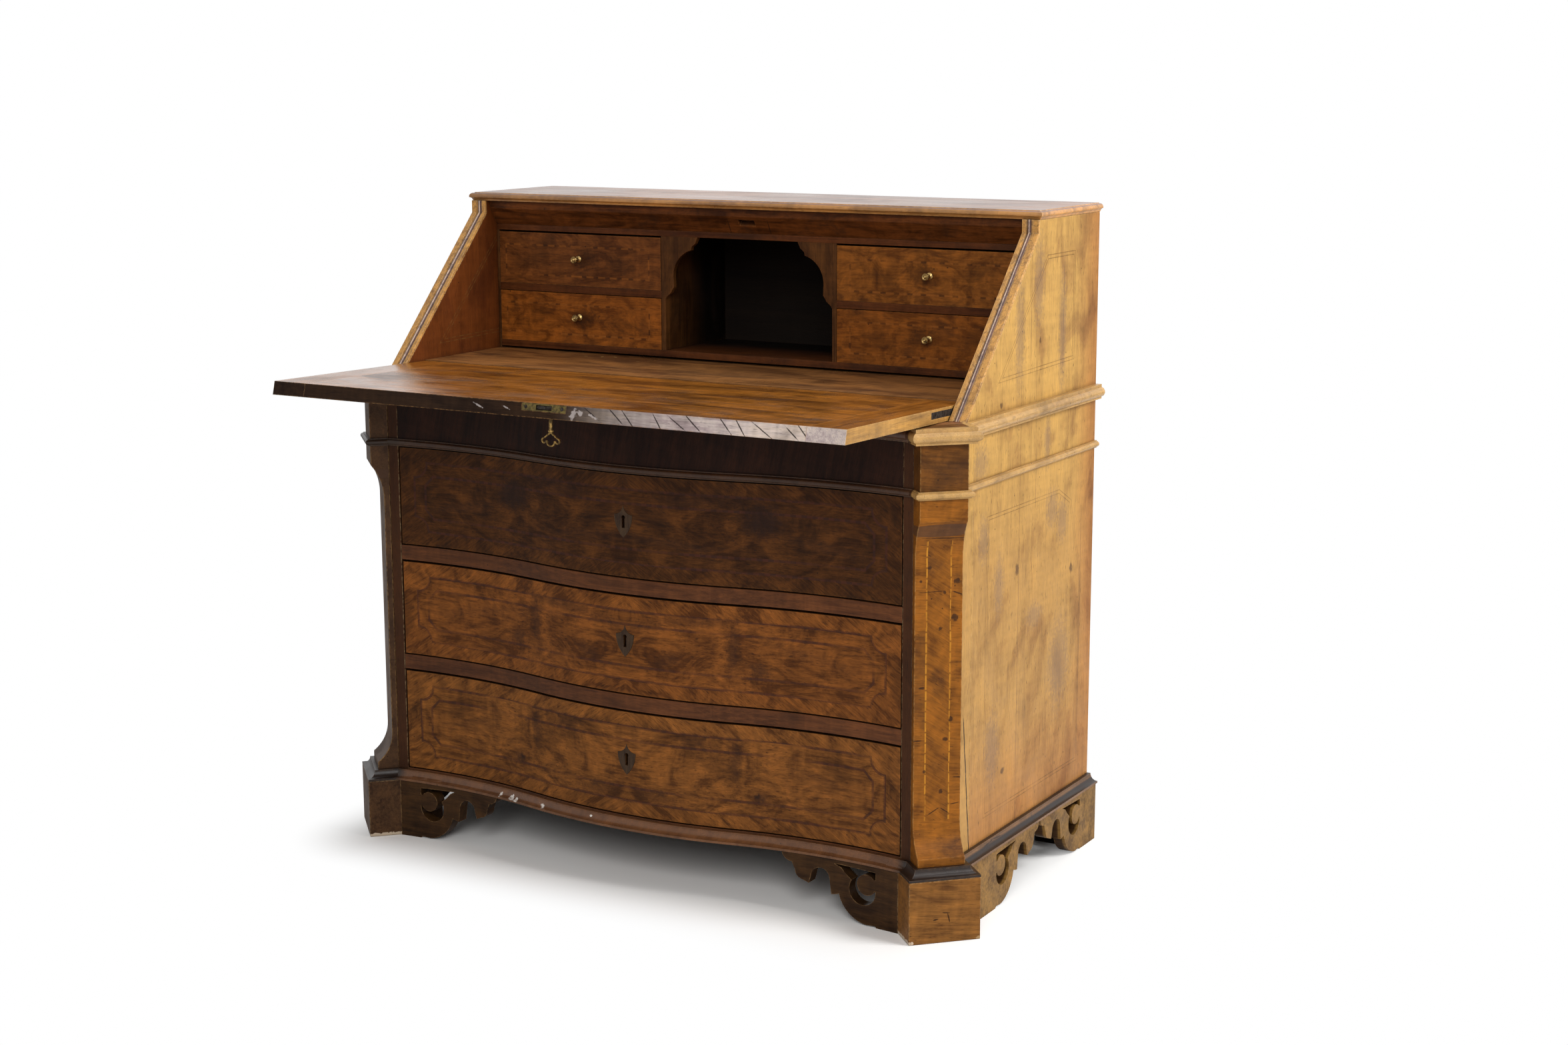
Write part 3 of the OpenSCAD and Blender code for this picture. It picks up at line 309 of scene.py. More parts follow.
@dataclass(frozen=True)
class Stringing:
    """Inlaid line round a rectangle, laid in short cross-cut lengths of two woods."""

    # Middle and half sizes of the rectangle, in metres
    middle: tuple[float, float] = (0.0, 0.0)
    half: tuple[float, float] = (0.0, 0.0)
    light: str = "#8a5a34"
    dark: str = "#3a2018"
    face: Face = Face.FRONT
    corner: Corner = Corner.SQUARE
    corner_mm: float = 0.0
    width_mm: float = 4.0
    dash_mm: float = 9.0
    # Share of a length that is the lighter wood
    light_share: float = 0.5
    strength: float = 0.8
    faded: float = 0.25
    mirrored: bool = False
    # Distance between the two hairlines of a line whose own wood has faded to that of the field
    gap_mm: float = 0.0
    uprights_only: bool = False

    def trace(self, graph: Board) -> tuple[Socket, Socket]:
        """Measures the distance from the line, and the distance along it.

        Args:
            graph: Wood being made.

        Returns:
            The distance outwards from the line, and a distance that grows along it.
        """
        out = []
        for axis, middle, half in zip(self.face.value, self.middle, self.half):
            value = graph.add("SeparateXYZ", {"Vector": graph.drawn}, axis)
            if self.mirrored and axis == "X":
                value = graph.add("Math", {0: value}, operation="ABSOLUTE")
            value = graph.add("Math", {0: value, 1: middle}, operation="SUBTRACT")
            value = graph.add("Math", {0: value}, operation="ABSOLUTE")
            out.append(graph.add("Math", {0: value, 1: half}, operation="SUBTRACT"))
        along = graph.add("Math", {0: out[0], 1: out[1]}, operation="MINIMUM")
        if self.uprights_only:
            past = graph.add("Math", {0: out[1], 1: 0.0}, operation="GREATER_THAN")
            return graph.add("Math", {0: out[0], 1: past}, operation="ADD"), along
        edge = graph.add("Math", {0: out[0], 1: out[1]}, operation="MAXIMUM")
        if self.corner is Corner.HOLLOW:
            span = graph.add("CombineXYZ", {0: out[0], 1: out[1]})
            reach = graph.add("VectorMath", {0: span}, "Value", operation="LENGTH")
            hollow = graph.add("Math", {0: self.corner_mm * MM, 1: reach}, operation="SUBTRACT")
            edge = graph.add("Math", {0: edge, 1: hollow}, operation="MAXIMUM")
        elif self.corner is Corner.CUT:
            cut = graph.add("Math", {0: out[0], 1: out[1]}, operation="ADD")
            cut = graph.add("Math", {0: cut, 1: self.corner_mm * MM}, operation="ADD")
            cut = graph.add("Math", {0: cut, 1: math.sqrt(0.5)}, operation="MULTIPLY")
            edge = graph.add("Math", {0: edge, 1: cut}, operation="MAXIMUM")
        return edge, along

    def paint(self, graph: Board, under: Colour) -> Socket:
        """Paints the line over a colour, in cross-cut lengths, faded where the broad noise is low.

        Args:
            graph: Wood being made.
            under: Colour of the field.

        Returns:
            The colour with the line.
        """
        edge, along = self.trace(graph)
        away = graph.add("Math", {0: edge}, operation="ABSOLUTE")
        if self.gap_mm:
            away = graph.add("Math", {0: away, 1: self.gap_mm * MM / 2}, operation="SUBTRACT")
            away = graph.add("Math", {0: away}, operation="ABSOLUTE")
        half, blur = self.width_mm * MM / 2, 0.4 * MM
        line = graph.add(
            "MapRange",
            {"Value": away, "From Min": half + blur, "From Max": half - blur, "To Max": self.strength},
            interpolation_type="SMOOTHSTEP",
        )
        worn = graph.add(
            "MapRange",
            {"Value": graph.broad, "From Min": 0.36, "From Max": 0.56, "To Min": 1 - 2 * self.faded},
        )
        share = graph.add("Math", {0: line, 1: worn}, operation="MULTIPLY", use_clamp=True)
        count = graph.add("Math", {0: along, 1: 1 / (self.dash_mm * MM)}, operation="MULTIPLY")
        step = graph.add("Math", {0: count, 1: 1.0}, operation="PINGPONG")
        joint = 0.08
        which = graph.add(
            "MapRange",
            {"Value": step, "From Min": self.light_share - joint, "From Max": self.light_share + joint},
        )
        woods = {0: which, 6: linear(self.light), 7: linear(self.dark)}
        tone = graph.add("Mix", woods, 2, data_type="RGBA")
        return graph.add("Mix", {0: share, 6: under, 7: tone}, 2, data_type="RGBA")


@dataclass(frozen=True)
class PanelLine(Stringing):
    """Inlaid line round a panel with straight sides of any slope, its corners named in order."""

    corners: tuple[tuple[float, float], ...] = ()

    def trace(self, graph: Board) -> tuple[Socket, Socket]:
        """Measures the distance from the line, and the distance along it.

        Args:
            graph: Wood being made.

        Returns:
            The distance outwards from the line, and a distance that grows along it.
        """
        edge: Optional[Socket] = None
        for (u0, v0), (u1, v1) in zip(self.corners, self.corners[1:] + self.corners[:1]):
            span = math.hypot(u1 - u0, v1 - v0)
            normal = ((v1 - v0) / span, (u0 - u1) / span)
            axis = (0.0, *normal) if self.face is Face.SIDE else (normal[0], 0.0, normal[1])
            dot = graph.add("VectorMath", {0: graph.drawn, 1: axis}, "Value", operation="DOT_PRODUCT")
            offset = normal[0] * u0 + normal[1] * v0
            dot = graph.add("Math", {0: dot, 1: offset}, operation="SUBTRACT")
            edge = dot if edge is None else graph.add("Math", {0: edge, 1: dot}, operation="MAXIMUM")
        rising = {0: graph.drawn, 1: (1.0, 1.0, 1.0)}
        along = graph.add("VectorMath", rising, "Value", operation="DOT_PRODUCT")
        return edge, along


def noise(
    graph: Graph, local: Socket, size_mm: tuple[float, ...], detail: float = 2.0,
    roughness: float = 0.5, swirl: float = 0.0,
) -> Socket:
    """Spreads a noise whose features have a real size.

    Args:
        graph: Material being made.
        local: Coordinates, on wood with X along the grain.
        size_mm: Length and width of the features, and their depth where it isn't their width.
        detail: Octaves of finer detail.
        roughness: Strength of the finer detail.
        swirl: How much it swirls.

    Returns:
        The noise, mostly between its low and high values.
    """
    scale = tuple(1000 / size for size in (*size_mm, size_mm[-1])[:3])
    scaled = graph.add("VectorMath", {0: local, 1: scale}, operation="MULTIPLY")
    return graph.add(
        "TexNoise",
        {"Vector": scaled, "Scale": 1.0, "Detail": detail, "Roughness": roughness, "Distortion": swirl},
    )


def about_one(amount: float, low: float = 0.0, high: float = 1.0) -> dict[str, float]:
    """Returns the range that maps low to high onto a factor that leaves 1 by an amount each way."""
    return {"From Min": low, "From Max": high, "To Min": 1 - amount, "To Max": 1 + amount}


@dataclass(frozen=True)
class Wood:
    """Old wood under shellac: patches, streaks, rings, pores, worm holes, worn edges, grime and painted
    shade.
    """

    name: str
    tones: Tones
    grain: Grain = Grain.ACROSS
    # Length and width of the soft patches and of the streaks, and how strongly each shows
    patch_mm: tuple[float, float] = (150.0, 55.0)
    patchy: float = 1.5
    streak_mm: tuple[float, float] = (180.0, 9.0)
    streaky: float = 0.9
    # How much the figure swirls, how strongly its growth rings show, and how many there are
    swirl: float = 0.6
    rings: float = 0.2
    ring_count: float = 16.0
    # Walnut fibres are about 0.3 mm wide; they are drawn about 1.8 mm wide so that they show
    fibre_mm: tuple[float, float] = (45.0, 1.8)
    fibre: float = 0.16
    # Pores are 0.2 mm wide and some mm long; they are drawn 1.3 mm wide and 16 mm long
    pores: float = 0.25
    pore_mm: tuple[float, float] = (16.0, 1.3)
    pore_depth_mm: float = 0.25
    # Short dark checks
    checks: float = 0.35
    check_mm: tuple[float, float] = (12.0, 2.2)
    # Spacing of the worm holes, or 0 for none, and the radii between which a hole's rim fades; a real
    # hole is about 1.5 mm across and is drawn about 2.4 mm across so that it shows
    worm_mm: float = 34.0
    worm_rim_mm: tuple[float, float] = (1.6, 0.8)
    hole: str = "#1d120b"
    # Size of the ragged edges of marks and wear
    ragged_mm: tuple[float, float] = (6.0, 6.0)
    stain: str = "#2a1c14"
    stain_mm: float = 90.0
    stained: float = 0.4
    # Whether the stain soaks in and tints the wood rather than covering it
    soaks: bool = False
    # Length of the pieces that a band or moulding is made up of, or 0 where it is one piece
    block_mm: float = 0.0
    block_shade: float = 0.14
    # Ripples across the grain, painted as light and shade, and depth of the waves that the wood has warped
    # into
    painted_ripple_shade: float = 0.1
    ripple_mm: tuple[float, float] = (10.0, 70.0)
    wave_depth_mm: float = 1.2
    # Width of the edge that hands wear, and depth of the nooks that gather grime and painted shade
    handled_mm: float = 2.2
    nook_mm: float = 14.0
    roughness: float = 0.42
    # Level of the clear reflection: 0.5 is fresh polish, less is dry old shellac
    gloss: float = 0.1
    coat: float = 0.0
    coat_roughness: float = 0.2
    worn: str = "#a9783f"
    wear: float = 0.45
    grime_and_shade: float = 0.6
    grime_and_shade_colour: str = "#1b120c"
    seed: float = 0.0
    # Grain of the band outside the first line, and whether both halves of the desk mirror each other
    border: Optional[Grain] = None
    mirrored: bool = False
    # Place and turn of the axes that lines and marks are drawn on
    axes: Optional[tuple[Point, Point]] = None
    zones: tuple[Zone, ...] = ()
    lines: tuple[Stringing, ...] = ()
    marks: tuple[Mark, ...] = ()
    # Part of the surface whose polish has gone
    bare: Optional[Zone] = None

    def build(self) -> bpy.types.Material:
        """Builds the node tree.

        Returns:
            The finish as a Blender material.
        """
        graph = Board(self.name)
        self.lay(graph)
        tones = self.tones.three()
        for zone in self.zones:
            share = zone.share(graph)
            tones = [
                graph.add("Mix", {0: share, 6: under, 7: over}, 2, data_type="RGBA")
                for under, over in zip(tones, zone.tones.three())
            ]
        colour, relief = self.figure(graph, tones)
        colour, relief = self.flaws(graph, colour, relief)
        for inlay in self.lines + self.marks:
            colour = inlay.paint(graph, colour)
        self.surface(graph, self.age(graph, colour), relief)
        return graph.owner

    def lay(self, graph: Board) -> None:
        """Lays the coordinates along the grain and spreads the shared noises on them.

        Args:
            graph: Wood being made.
        """
        place = graph.place
        if self.mirrored:
            parts = [graph.add("SeparateXYZ", {"Vector": place}, axis) for axis in "XYZ"]
            parts[0] = graph.add("Math", {0: parts[0]}, operation="ABSOLUTE")
            place = graph.add("CombineXYZ", dict(enumerate(parts)))
        graph.drawn = place
        if self.axes is not None:
            origin, turn = self.axes
            graph.drawn = graph.add(
                "Mapping", {"Vector": place, "Location": origin, "Rotation": turn}, vector_type="TEXTURE"
            )
        shift = tuple(self.seed * step for step in SEED_STEP)
        moved = {"Vector": place, "Location": shift}
        along = [
            graph.add("Mapping", {**moved, "Rotation": grain.value}, vector_type="TEXTURE")
            for grain in (self.grain, self.border) if grain is not None
        ]
        graph.local = along[0]
        if self.border is not None:
            outside = self.lines[0].trace(graph)[0]
            outside = graph.add("Math", {0: outside, 1: 0.0}, operation="GREATER_THAN")
            graph.local = graph.add("Mix", {0: outside, 4: along[0], 5: along[1]}, 1, data_type="VECTOR")
        size_mm = (self.stain_mm * 1.5, self.stain_mm)
        graph.broad = noise(graph, graph.local, size_mm, detail=5.0, roughness=0.6, swirl=0.5)
        graph.small = noise(graph, graph.local, self.ragged_mm, detail=3.0, roughness=0.6)

    def figure(self, graph: Board, tones: list[Colour]) -> tuple[Socket, Socket]:
        """Mixes the tones by patches and streaks, and draws growth rings, fibres, pores and blocks.

        Args:
            graph: Wood being made.
            tones: Light, mid and dark colours.

        Returns:
            The sound wood's colour, and its relief.
        """
        light, mid, dark = tones
        patch = noise(graph, graph.local, self.patch_mm, detail=7.0, roughness=0.63, swirl=self.swirl)
        streak = noise(graph, graph.local, self.streak_mm, detail=3.0, roughness=0.55, swirl=0.2)
        spread = {0: patch, 1: 2 * self.patchy, 2: 0.5 - self.patchy}
        level = graph.add("Math", spread, operation="MULTIPLY_ADD")
        level = graph.add("Math", {0: streak, 1: 2 * self.streaky, 2: level}, operation="MULTIPLY_ADD")
        level = graph.add("Math", {0: level, 1: self.streaky}, operation="SUBTRACT")
        first = graph.add("MapRange", {"Value": level, "From Max": 0.5})
        colour = graph.add("Mix", {0: first, 6: light, 7: mid}, 2, data_type="RGBA")
        second = graph.add("MapRange", {"Value": level, "From Min": 0.5})
        colour = graph.add("Mix", {0: second, 6: colour, 7: dark}, 2, data_type="RGBA")
        fibre = noise(graph, graph.local, self.fibre_mm, detail=3.0, roughness=0.65)
        # Growth rings are the contours of the patches, made ragged by the fibres
        bend = graph.add("Math", {0: fibre, 1: 0.012, 2: patch}, operation="MULTIPLY_ADD")
        turns = graph.add("Math", {0: bend, 1: self.ring_count}, operation="MULTIPLY")
        ring = graph.add("Math", {0: turns, 1: 0.5}, operation="PINGPONG")
        thin = {"From Min": 0.14, "From Max": 0.0, "To Max": self.rings}
        ring = graph.add("MapRange", {"Value": ring, **thin})
        shown = graph.add("MapRange", {"Value": graph.broad, "From Min": 0.4, "From Max": 0.6})
        ring = graph.add("Math", {0: ring, 1: shown}, operation="MULTIPLY")
        colour = graph.add("Mix", {0: ring, 6: colour, 7: dark}, 2, data_type="RGBA")
        line = graph.add("MapRange", {"Value": fibre, **about_one(self.fibre, NOISE_LOW, NOISE_HIGH)})
        pore = noise(graph, graph.local, self.pore_mm, detail=1.0)
        pore = graph.add("MapRange", {"Value": pore, "From Min": 0.58, "From Max": 0.72})
        tone = graph.add("Math", {0: pore, 1: -self.pores, 2: 1.0}, operation="MULTIPLY_ADD")
        tone = graph.add("Math", {0: tone, 1: line}, operation="MULTIPLY")
        if self.block_mm:
            along = graph.add("SeparateXYZ", {"Vector": graph.local}, "X")
            number = graph.add("Math", {0: along, 1: 1000 / self.block_mm}, operation="MULTIPLY")
            number = graph.add("Math", {0: number}, operation="FLOOR")
            chance = graph.add("TexWhiteNoise", {"W": number}, noise_dimensions="1D")
            block = graph.add("MapRange", {"Value": chance, **about_one(self.block_shade)})
            tone = graph.add("Math", {0: tone, 1: block}, operation="MULTIPLY")
        colour = graph.add("VectorMath", {0: colour, 3: tone}, operation="SCALE")
        return colour, graph.add("Math", {0: pore, 1: -0.6, 2: fibre}, operation="MULTIPLY_ADD")

    def flaws(self, graph: Board, colour: Socket, relief: Socket) -> tuple[Socket, Socket]:
        """Adds short checks, worm holes and stains.

        Args:
            graph: Wood being made.
            colour: Colour of the sound wood.
            relief: Relief of the sound wood.

        Returns:
            The colour before lines, marks and age, and the relief.
        """
        check = noise(graph, graph.local, self.check_mm, detail=1.0)
        deep = {"From Min": 0.69, "From Max": 0.74, "To Max": self.checks}
        hole = graph.add("MapRange", {"Value": check, **deep})
        if self.worm_mm:
            near = graph.add("TexVoronoi", {"Vector": graph.local, "Scale": 1000 / self.worm_mm}, "Distance")
            rim, core = (radius / self.worm_mm for radius in self.worm_rim_mm)
            worm = graph.add("MapRange", {"Value": near, "From Min": rim, "From Max": core, "To Max": 0.8})
            hole = graph.add("Math", {0: hole, 1: worm}, operation="MAXIMUM")
        colour = graph.add("Mix", {0: hole, 6: colour, 7: linear(self.hole)}, 2, data_type="RGBA")
        blot = graph.add(
            "MapRange", {"Value": graph.broad, "From Min": 0.52, "From Max": 0.68, "To Max": self.stained},
            interpolation_type="SMOOTHSTEP",
        )
        colour = graph.add(
            "Mix", {0: blot, 6: colour, 7: linear(self.stain)}, 2, data_type="RGBA",
            blend_type="MULTIPLY" if self.soaks else "MIX",
        )
        return colour, graph.add("Math", {0: hole, 1: -2.0, 2: relief}, operation="MULTIPLY_ADD")

    def age(self, graph: Board, colour: Socket) -> Socket:
        """Wears the outer edges, broken up by the small noise, and paints grime and shade into inner corners.

        Args:
            graph: Wood being made.
            colour: Colour of the sound wood.

        Returns:
            The worn colour, with grime and painted shade in the nooks.
        """
        round_edge = graph.add("Bevel", {"Radius": self.handled_mm * MM}, samples=4)
        normal = graph.add("NewGeometry", output="Normal")
        same = graph.add("VectorMath", {0: round_edge, 1: normal}, "Value", operation="DOT_PRODUCT")
        edge = graph.add("MapRange", {"Value": same, "From Min": 0.99, "From Max": 0.9})
        broken = {"From Min": 0.4, "From Max": 0.62, "To Max": self.wear}
        broken = graph.add("MapRange", {"Value": graph.small, **broken})
        share = graph.add("Math", {0: edge, 1: broken}, operation="MULTIPLY")
        colour = graph.add("Mix", {0: share, 6: colour, 7: linear(self.worn)}, 2, data_type="RGBA")
        # Grime and painted shade: darker where nearby parts shut the surface in
        reach = {"Distance": self.nook_mm * MM}
        open_air = graph.add("AmbientOcclusion", reach, "AO", samples=4, only_local=False)
        grime_and_shade_share = {"From Min": 0.75, "From Max": 0.2, "To Max": self.grime_and_shade}
        grime_and_shade_share = graph.add("MapRange", {"Value": open_air, **grime_and_shade_share})
        grimed_and_shaded = {0: grime_and_shade_share, 6: colour, 7: linear(self.grime_and_shade_colour)}
        return graph.add("Mix", grimed_and_shaded, 2, data_type="RGBA")

    def surface(self, graph: Board, colour: Socket, relief: Socket) -> None:
        """Ends the tree with the polished surface, waved and dulled in places by the broad noise.

        Args:
            graph: Wood being made.
            colour: Finished colour.
            relief: Height of fibres, pores and holes.
        """
        # Painted light and shade: ripples across the grain brighten and darken the colour
        ripple = noise(graph, graph.local, self.ripple_mm, detail=1.0)
        shade = graph.add("MapRange", {"Value": ripple, **about_one(self.painted_ripple_shade, NOISE_LOW, NOISE_HIGH)})
        colour = graph.add("VectorMath", {0: colour, 3: shade}, operation="SCALE")
        bump = graph.add("Bump", {"Strength": 0.35, "Distance": self.pore_depth_mm * MM, "Height": relief})
        waves = {"Strength": 0.5, "Distance": self.wave_depth_mm * MM, "Height": graph.broad}
        bump = graph.add("Bump", {**waves, "Normal": bump})
        dull = {"From Min": NOISE_LOW, "From Max": NOISE_HIGH, "To Min": self.roughness - 0.07}
        dull = graph.add("MapRange", {"Value": graph.broad, **dull, "To Max": self.roughness + 0.12})
        gloss: Union[float, Socket] = self.gloss
        if self.bare is not None:
            dry = self.bare.share(graph)
            gloss = graph.add("MapRange", {"Value": dry, "To Min": self.gloss, "To Max": 0.05})
        shader = graph.add(
            "BsdfPrincipled",
            {
                "Base Color": colour, "Roughness": dull, "IOR": 1.5, "Specular IOR Level": gloss,
                "Coat Weight": self.coat, "Coat Roughness": self.coat_roughness, "Normal": bump,
            },
        )
        graph.add("OutputMaterial", {"Surface": shader})


@dataclass(frozen=True)
class Metal:
    """Old metal: bare colour under patches of tarnish, with fine scratches."""

    name: str
    bare: str
    tarnish: str
    tarnished: float = 0.5
    roughness: float = 0.35
    tarnish_mm: tuple[float, float] = (5.263, 5.263)
    # Scratches are hair-thin; they are drawn 0.4 mm wide so that they show
    scratch_mm: tuple[float, float, float] = (0.4, 3.333, 1.111)

    def build(self) -> bpy.types.Material:
        """Builds the node tree.

        Returns:
            The finish as a Blender material.
        """
        graph = Graph(bpy.data.materials.new(self.name))
        place = graph.add("TexCoord", output="Object")
        patch = noise(graph, place, self.tarnish_mm, detail=5.0, roughness=0.65)
        low, high = 0.62 - 0.3 * self.tarnished, 0.72 - 0.2 * self.tarnished
        share = graph.add("MapRange", {"Value": patch, "From Min": low, "From Max": high})
        hidden = graph.add("AmbientOcclusion", {"Distance": 3 * MM}, "AO", samples=4)
        nook = graph.add("MapRange", {"Value": hidden, "From Min": 0.9, "From Max": 0.4})
        share = graph.add("Math", {0: share, 1: nook}, operation="MAXIMUM")
        tones = {0: share, 6: linear(self.bare), 7: linear(self.tarnish)}
        colour = graph.add("Mix", tones, 2, data_type="RGBA")
        scratch = noise(graph, place, self.scratch_mm)
        bump = graph.add("Bump", {"Strength": 0.3, "Distance": 0.1 * MM, "Height": scratch})
        dull = graph.add("Math", {0: share, 1: 0.3, 2: self.roughness}, operation="MULTIPLY_ADD")
        metallic = graph.add("MapRange", {"Value": share, "To Min": 1.0, "To Max": 0.75})
        shader = graph.add(
            "BsdfPrincipled",
            {"Base Color": colour, "Metallic": metallic, "Roughness": dull, "Normal": bump},
        )
        graph.add("OutputMaterial", {"Surface": shader})
        return graph.owner


def clear_selection() -> None:
    """Leaves nothing selected, because an operator acts on all that is selected."""
    for thing in bpy.data.objects:
        thing.select_set(False)


def slot_of(node: str) -> str:
    """Returns the record's material slot of a CAD node."""
    return next(part["material_slot"] for part in frame["record"]["subparts"] if part["node"] == node)


class Workpiece:
    """A mesh on the bench, shaped in edit mode as by hand."""

    def __init__(self, name: str, thing: bpy.types.Object) -> None:
        """Takes an object as the work and makes it the only one selected.

        Args:
            name: Name that it gets.
            thing: The object.
        """
        clear_selection()
        self.thing = thing
        thing.name = name
        thing.data.name = name
        thing.select_set(True)
        bpy.context.view_layer.objects.active = thing

    @classmethod
    def from_node(cls, node: str) -> "Workpiece":
        """Copies a CAD node with its own mesh and merges its loose triangles.

        Args:
            node: CAD node that the copy stands for.

        Returns:
            The work.
        """
        source = frame["nodes"][node]
        thing = source.copy()
        thing.data = source.data.copy()
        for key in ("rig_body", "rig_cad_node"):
            del thing[key]
        thing.parent = None
        thing.data.materials.clear()
        bpy.context.scene.collection.objects.link(thing)
        work = cls(node + "_dressed", thing)
        bpy.ops.object.mode_set(mode="EDIT")
        bpy.ops.mesh.select_all(action="SELECT")
        bpy.ops.mesh.remove_doubles(threshold=0.01 * MM)
        bpy.ops.mesh.dissolve_limited(angle_limit=math.radians(0.5))
        bpy.ops.object.mode_set(mode="OBJECT")
        return work

    def pick(self, test: Callable[[Vector, Vector], bool]) -> None:
        """Selects the faces whose middle and normal pass a test, in edit mode.

        Args:
            test: Takes a face's middle and normal.
        """
        mesh = bmesh.from_edit_mesh(self.thing.data)
        for face in mesh.faces:
            face.select_set(False)
        for face in [face for face in mesh.faces if test(face.calc_center_median(), face.normal)]:
            face.select_set(True)
        mesh.select_flush_mode()
        bmesh.update_edit_mesh(self.thing.data)

    def push(self, move: Point) -> None:
        """Extrudes the selected faces by a distance."""
        bpy.ops.mesh.extrude_region_move(TRANSFORM_OT_translate={"value": move})

    def settle(self) -> None:
        """Puts the object at the origin, with its place in its mesh."""
        self.thing.data.transform(self.thing.matrix_world)
        self.thing.matrix_world.identity()

    def finish(self, edge_mm: float, segments: int = 2, angle: float = 25.0) -> bpy.types.Object:
        """Rounds the sharp edges and smooths the shading.

        Args:
            edge_mm: Width of the rounded edge.
            segments: Segments across the rounded edge.
            angle: Angle in degrees from which an edge is rounded.

        Returns:
            The finished object.
        """
        soft = self.thing.modifiers.new("rounded", "BEVEL")
        soft.width = edge_mm * MM
        soft.segments = segments
        soft.limit_method = "ANGLE"
        soft.angle_limit = math.radians(angle)
        soft.use_clamp_overlap = True
        bpy.ops.object.modifier_apply(modifier=soft.name)
        bpy.ops.object.shade_smooth_by_angle(angle=math.radians(40))
        flat = self.thing.modifiers.new("flat_faces", "WEIGHTED_NORMAL")
        flat.mode = "FACE_AREA"
        flat.weight = 90
        flat.keep_sharp = True
        bpy.ops.object.modifier_apply(modifier=flat.name)
        self.thing.select_set(False)
        return self.thing


def dress(piece: bpy.types.Object, material: bpy.types.Material, body: str, slot: str, *nodes: str) -> None:
    """Gives a piece its finish and its body, and hides the nodes that it stands for.

    Args:
        piece: The finished piece.
        material: Its finish.
        body: CAD body that it rides on.
        slot: Material slot of the record; not used.
        *nodes: CAD nodes that it replaces.
    """
    piece.data.materials.clear()
    piece.data.materials.append(material)
    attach(piece, body)
    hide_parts(*nodes)


class Assembly:
    """A group of pieces made from CAD nodes with soft edges."""

    def soften(
        self, finish: Union[Wood, Metal], *nodes: str, edge_mm: float = 0.7, segments: int = 2
    ) -> None:
        """Makes soft-edged pieces that stand for nodes and share one finish.

        Args:
            finish: Finish that they share.
            *nodes: CAD nodes.
            edge_mm: Width of the rounded edges.
            segments: Segments across the rounded edges.
        """
        material = finish.build()
        for node in nodes:
            piece = Workpiece.from_node(node).finish(edge_mm, segments)
            dress(piece, material, frame["nodes"][node]["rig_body"], slot_of(node), node)
            log.info("%s: %d faces, %s", piece.name, len(piece.data.polygons), finish.name)


# Planed poplar without polish: pale, dry and straight-grained
POPLAR = Wood(
    "poplar_boards_inside", Tones("#9d7c50"), patch_mm=(400, 60), patchy=0.7, streak_mm=(500, 16),
    roughness=0.7, worn="#c2a67c", painted_ripple_shade=0.05,
)
# Painted shade: walnut on the left corner darker, as it stands away from the light
LEFT_CORNER_PAINTED_SHADE = Zone(Measure.ALONG_X, -0.3, -0.4, Tones("#48311f"))


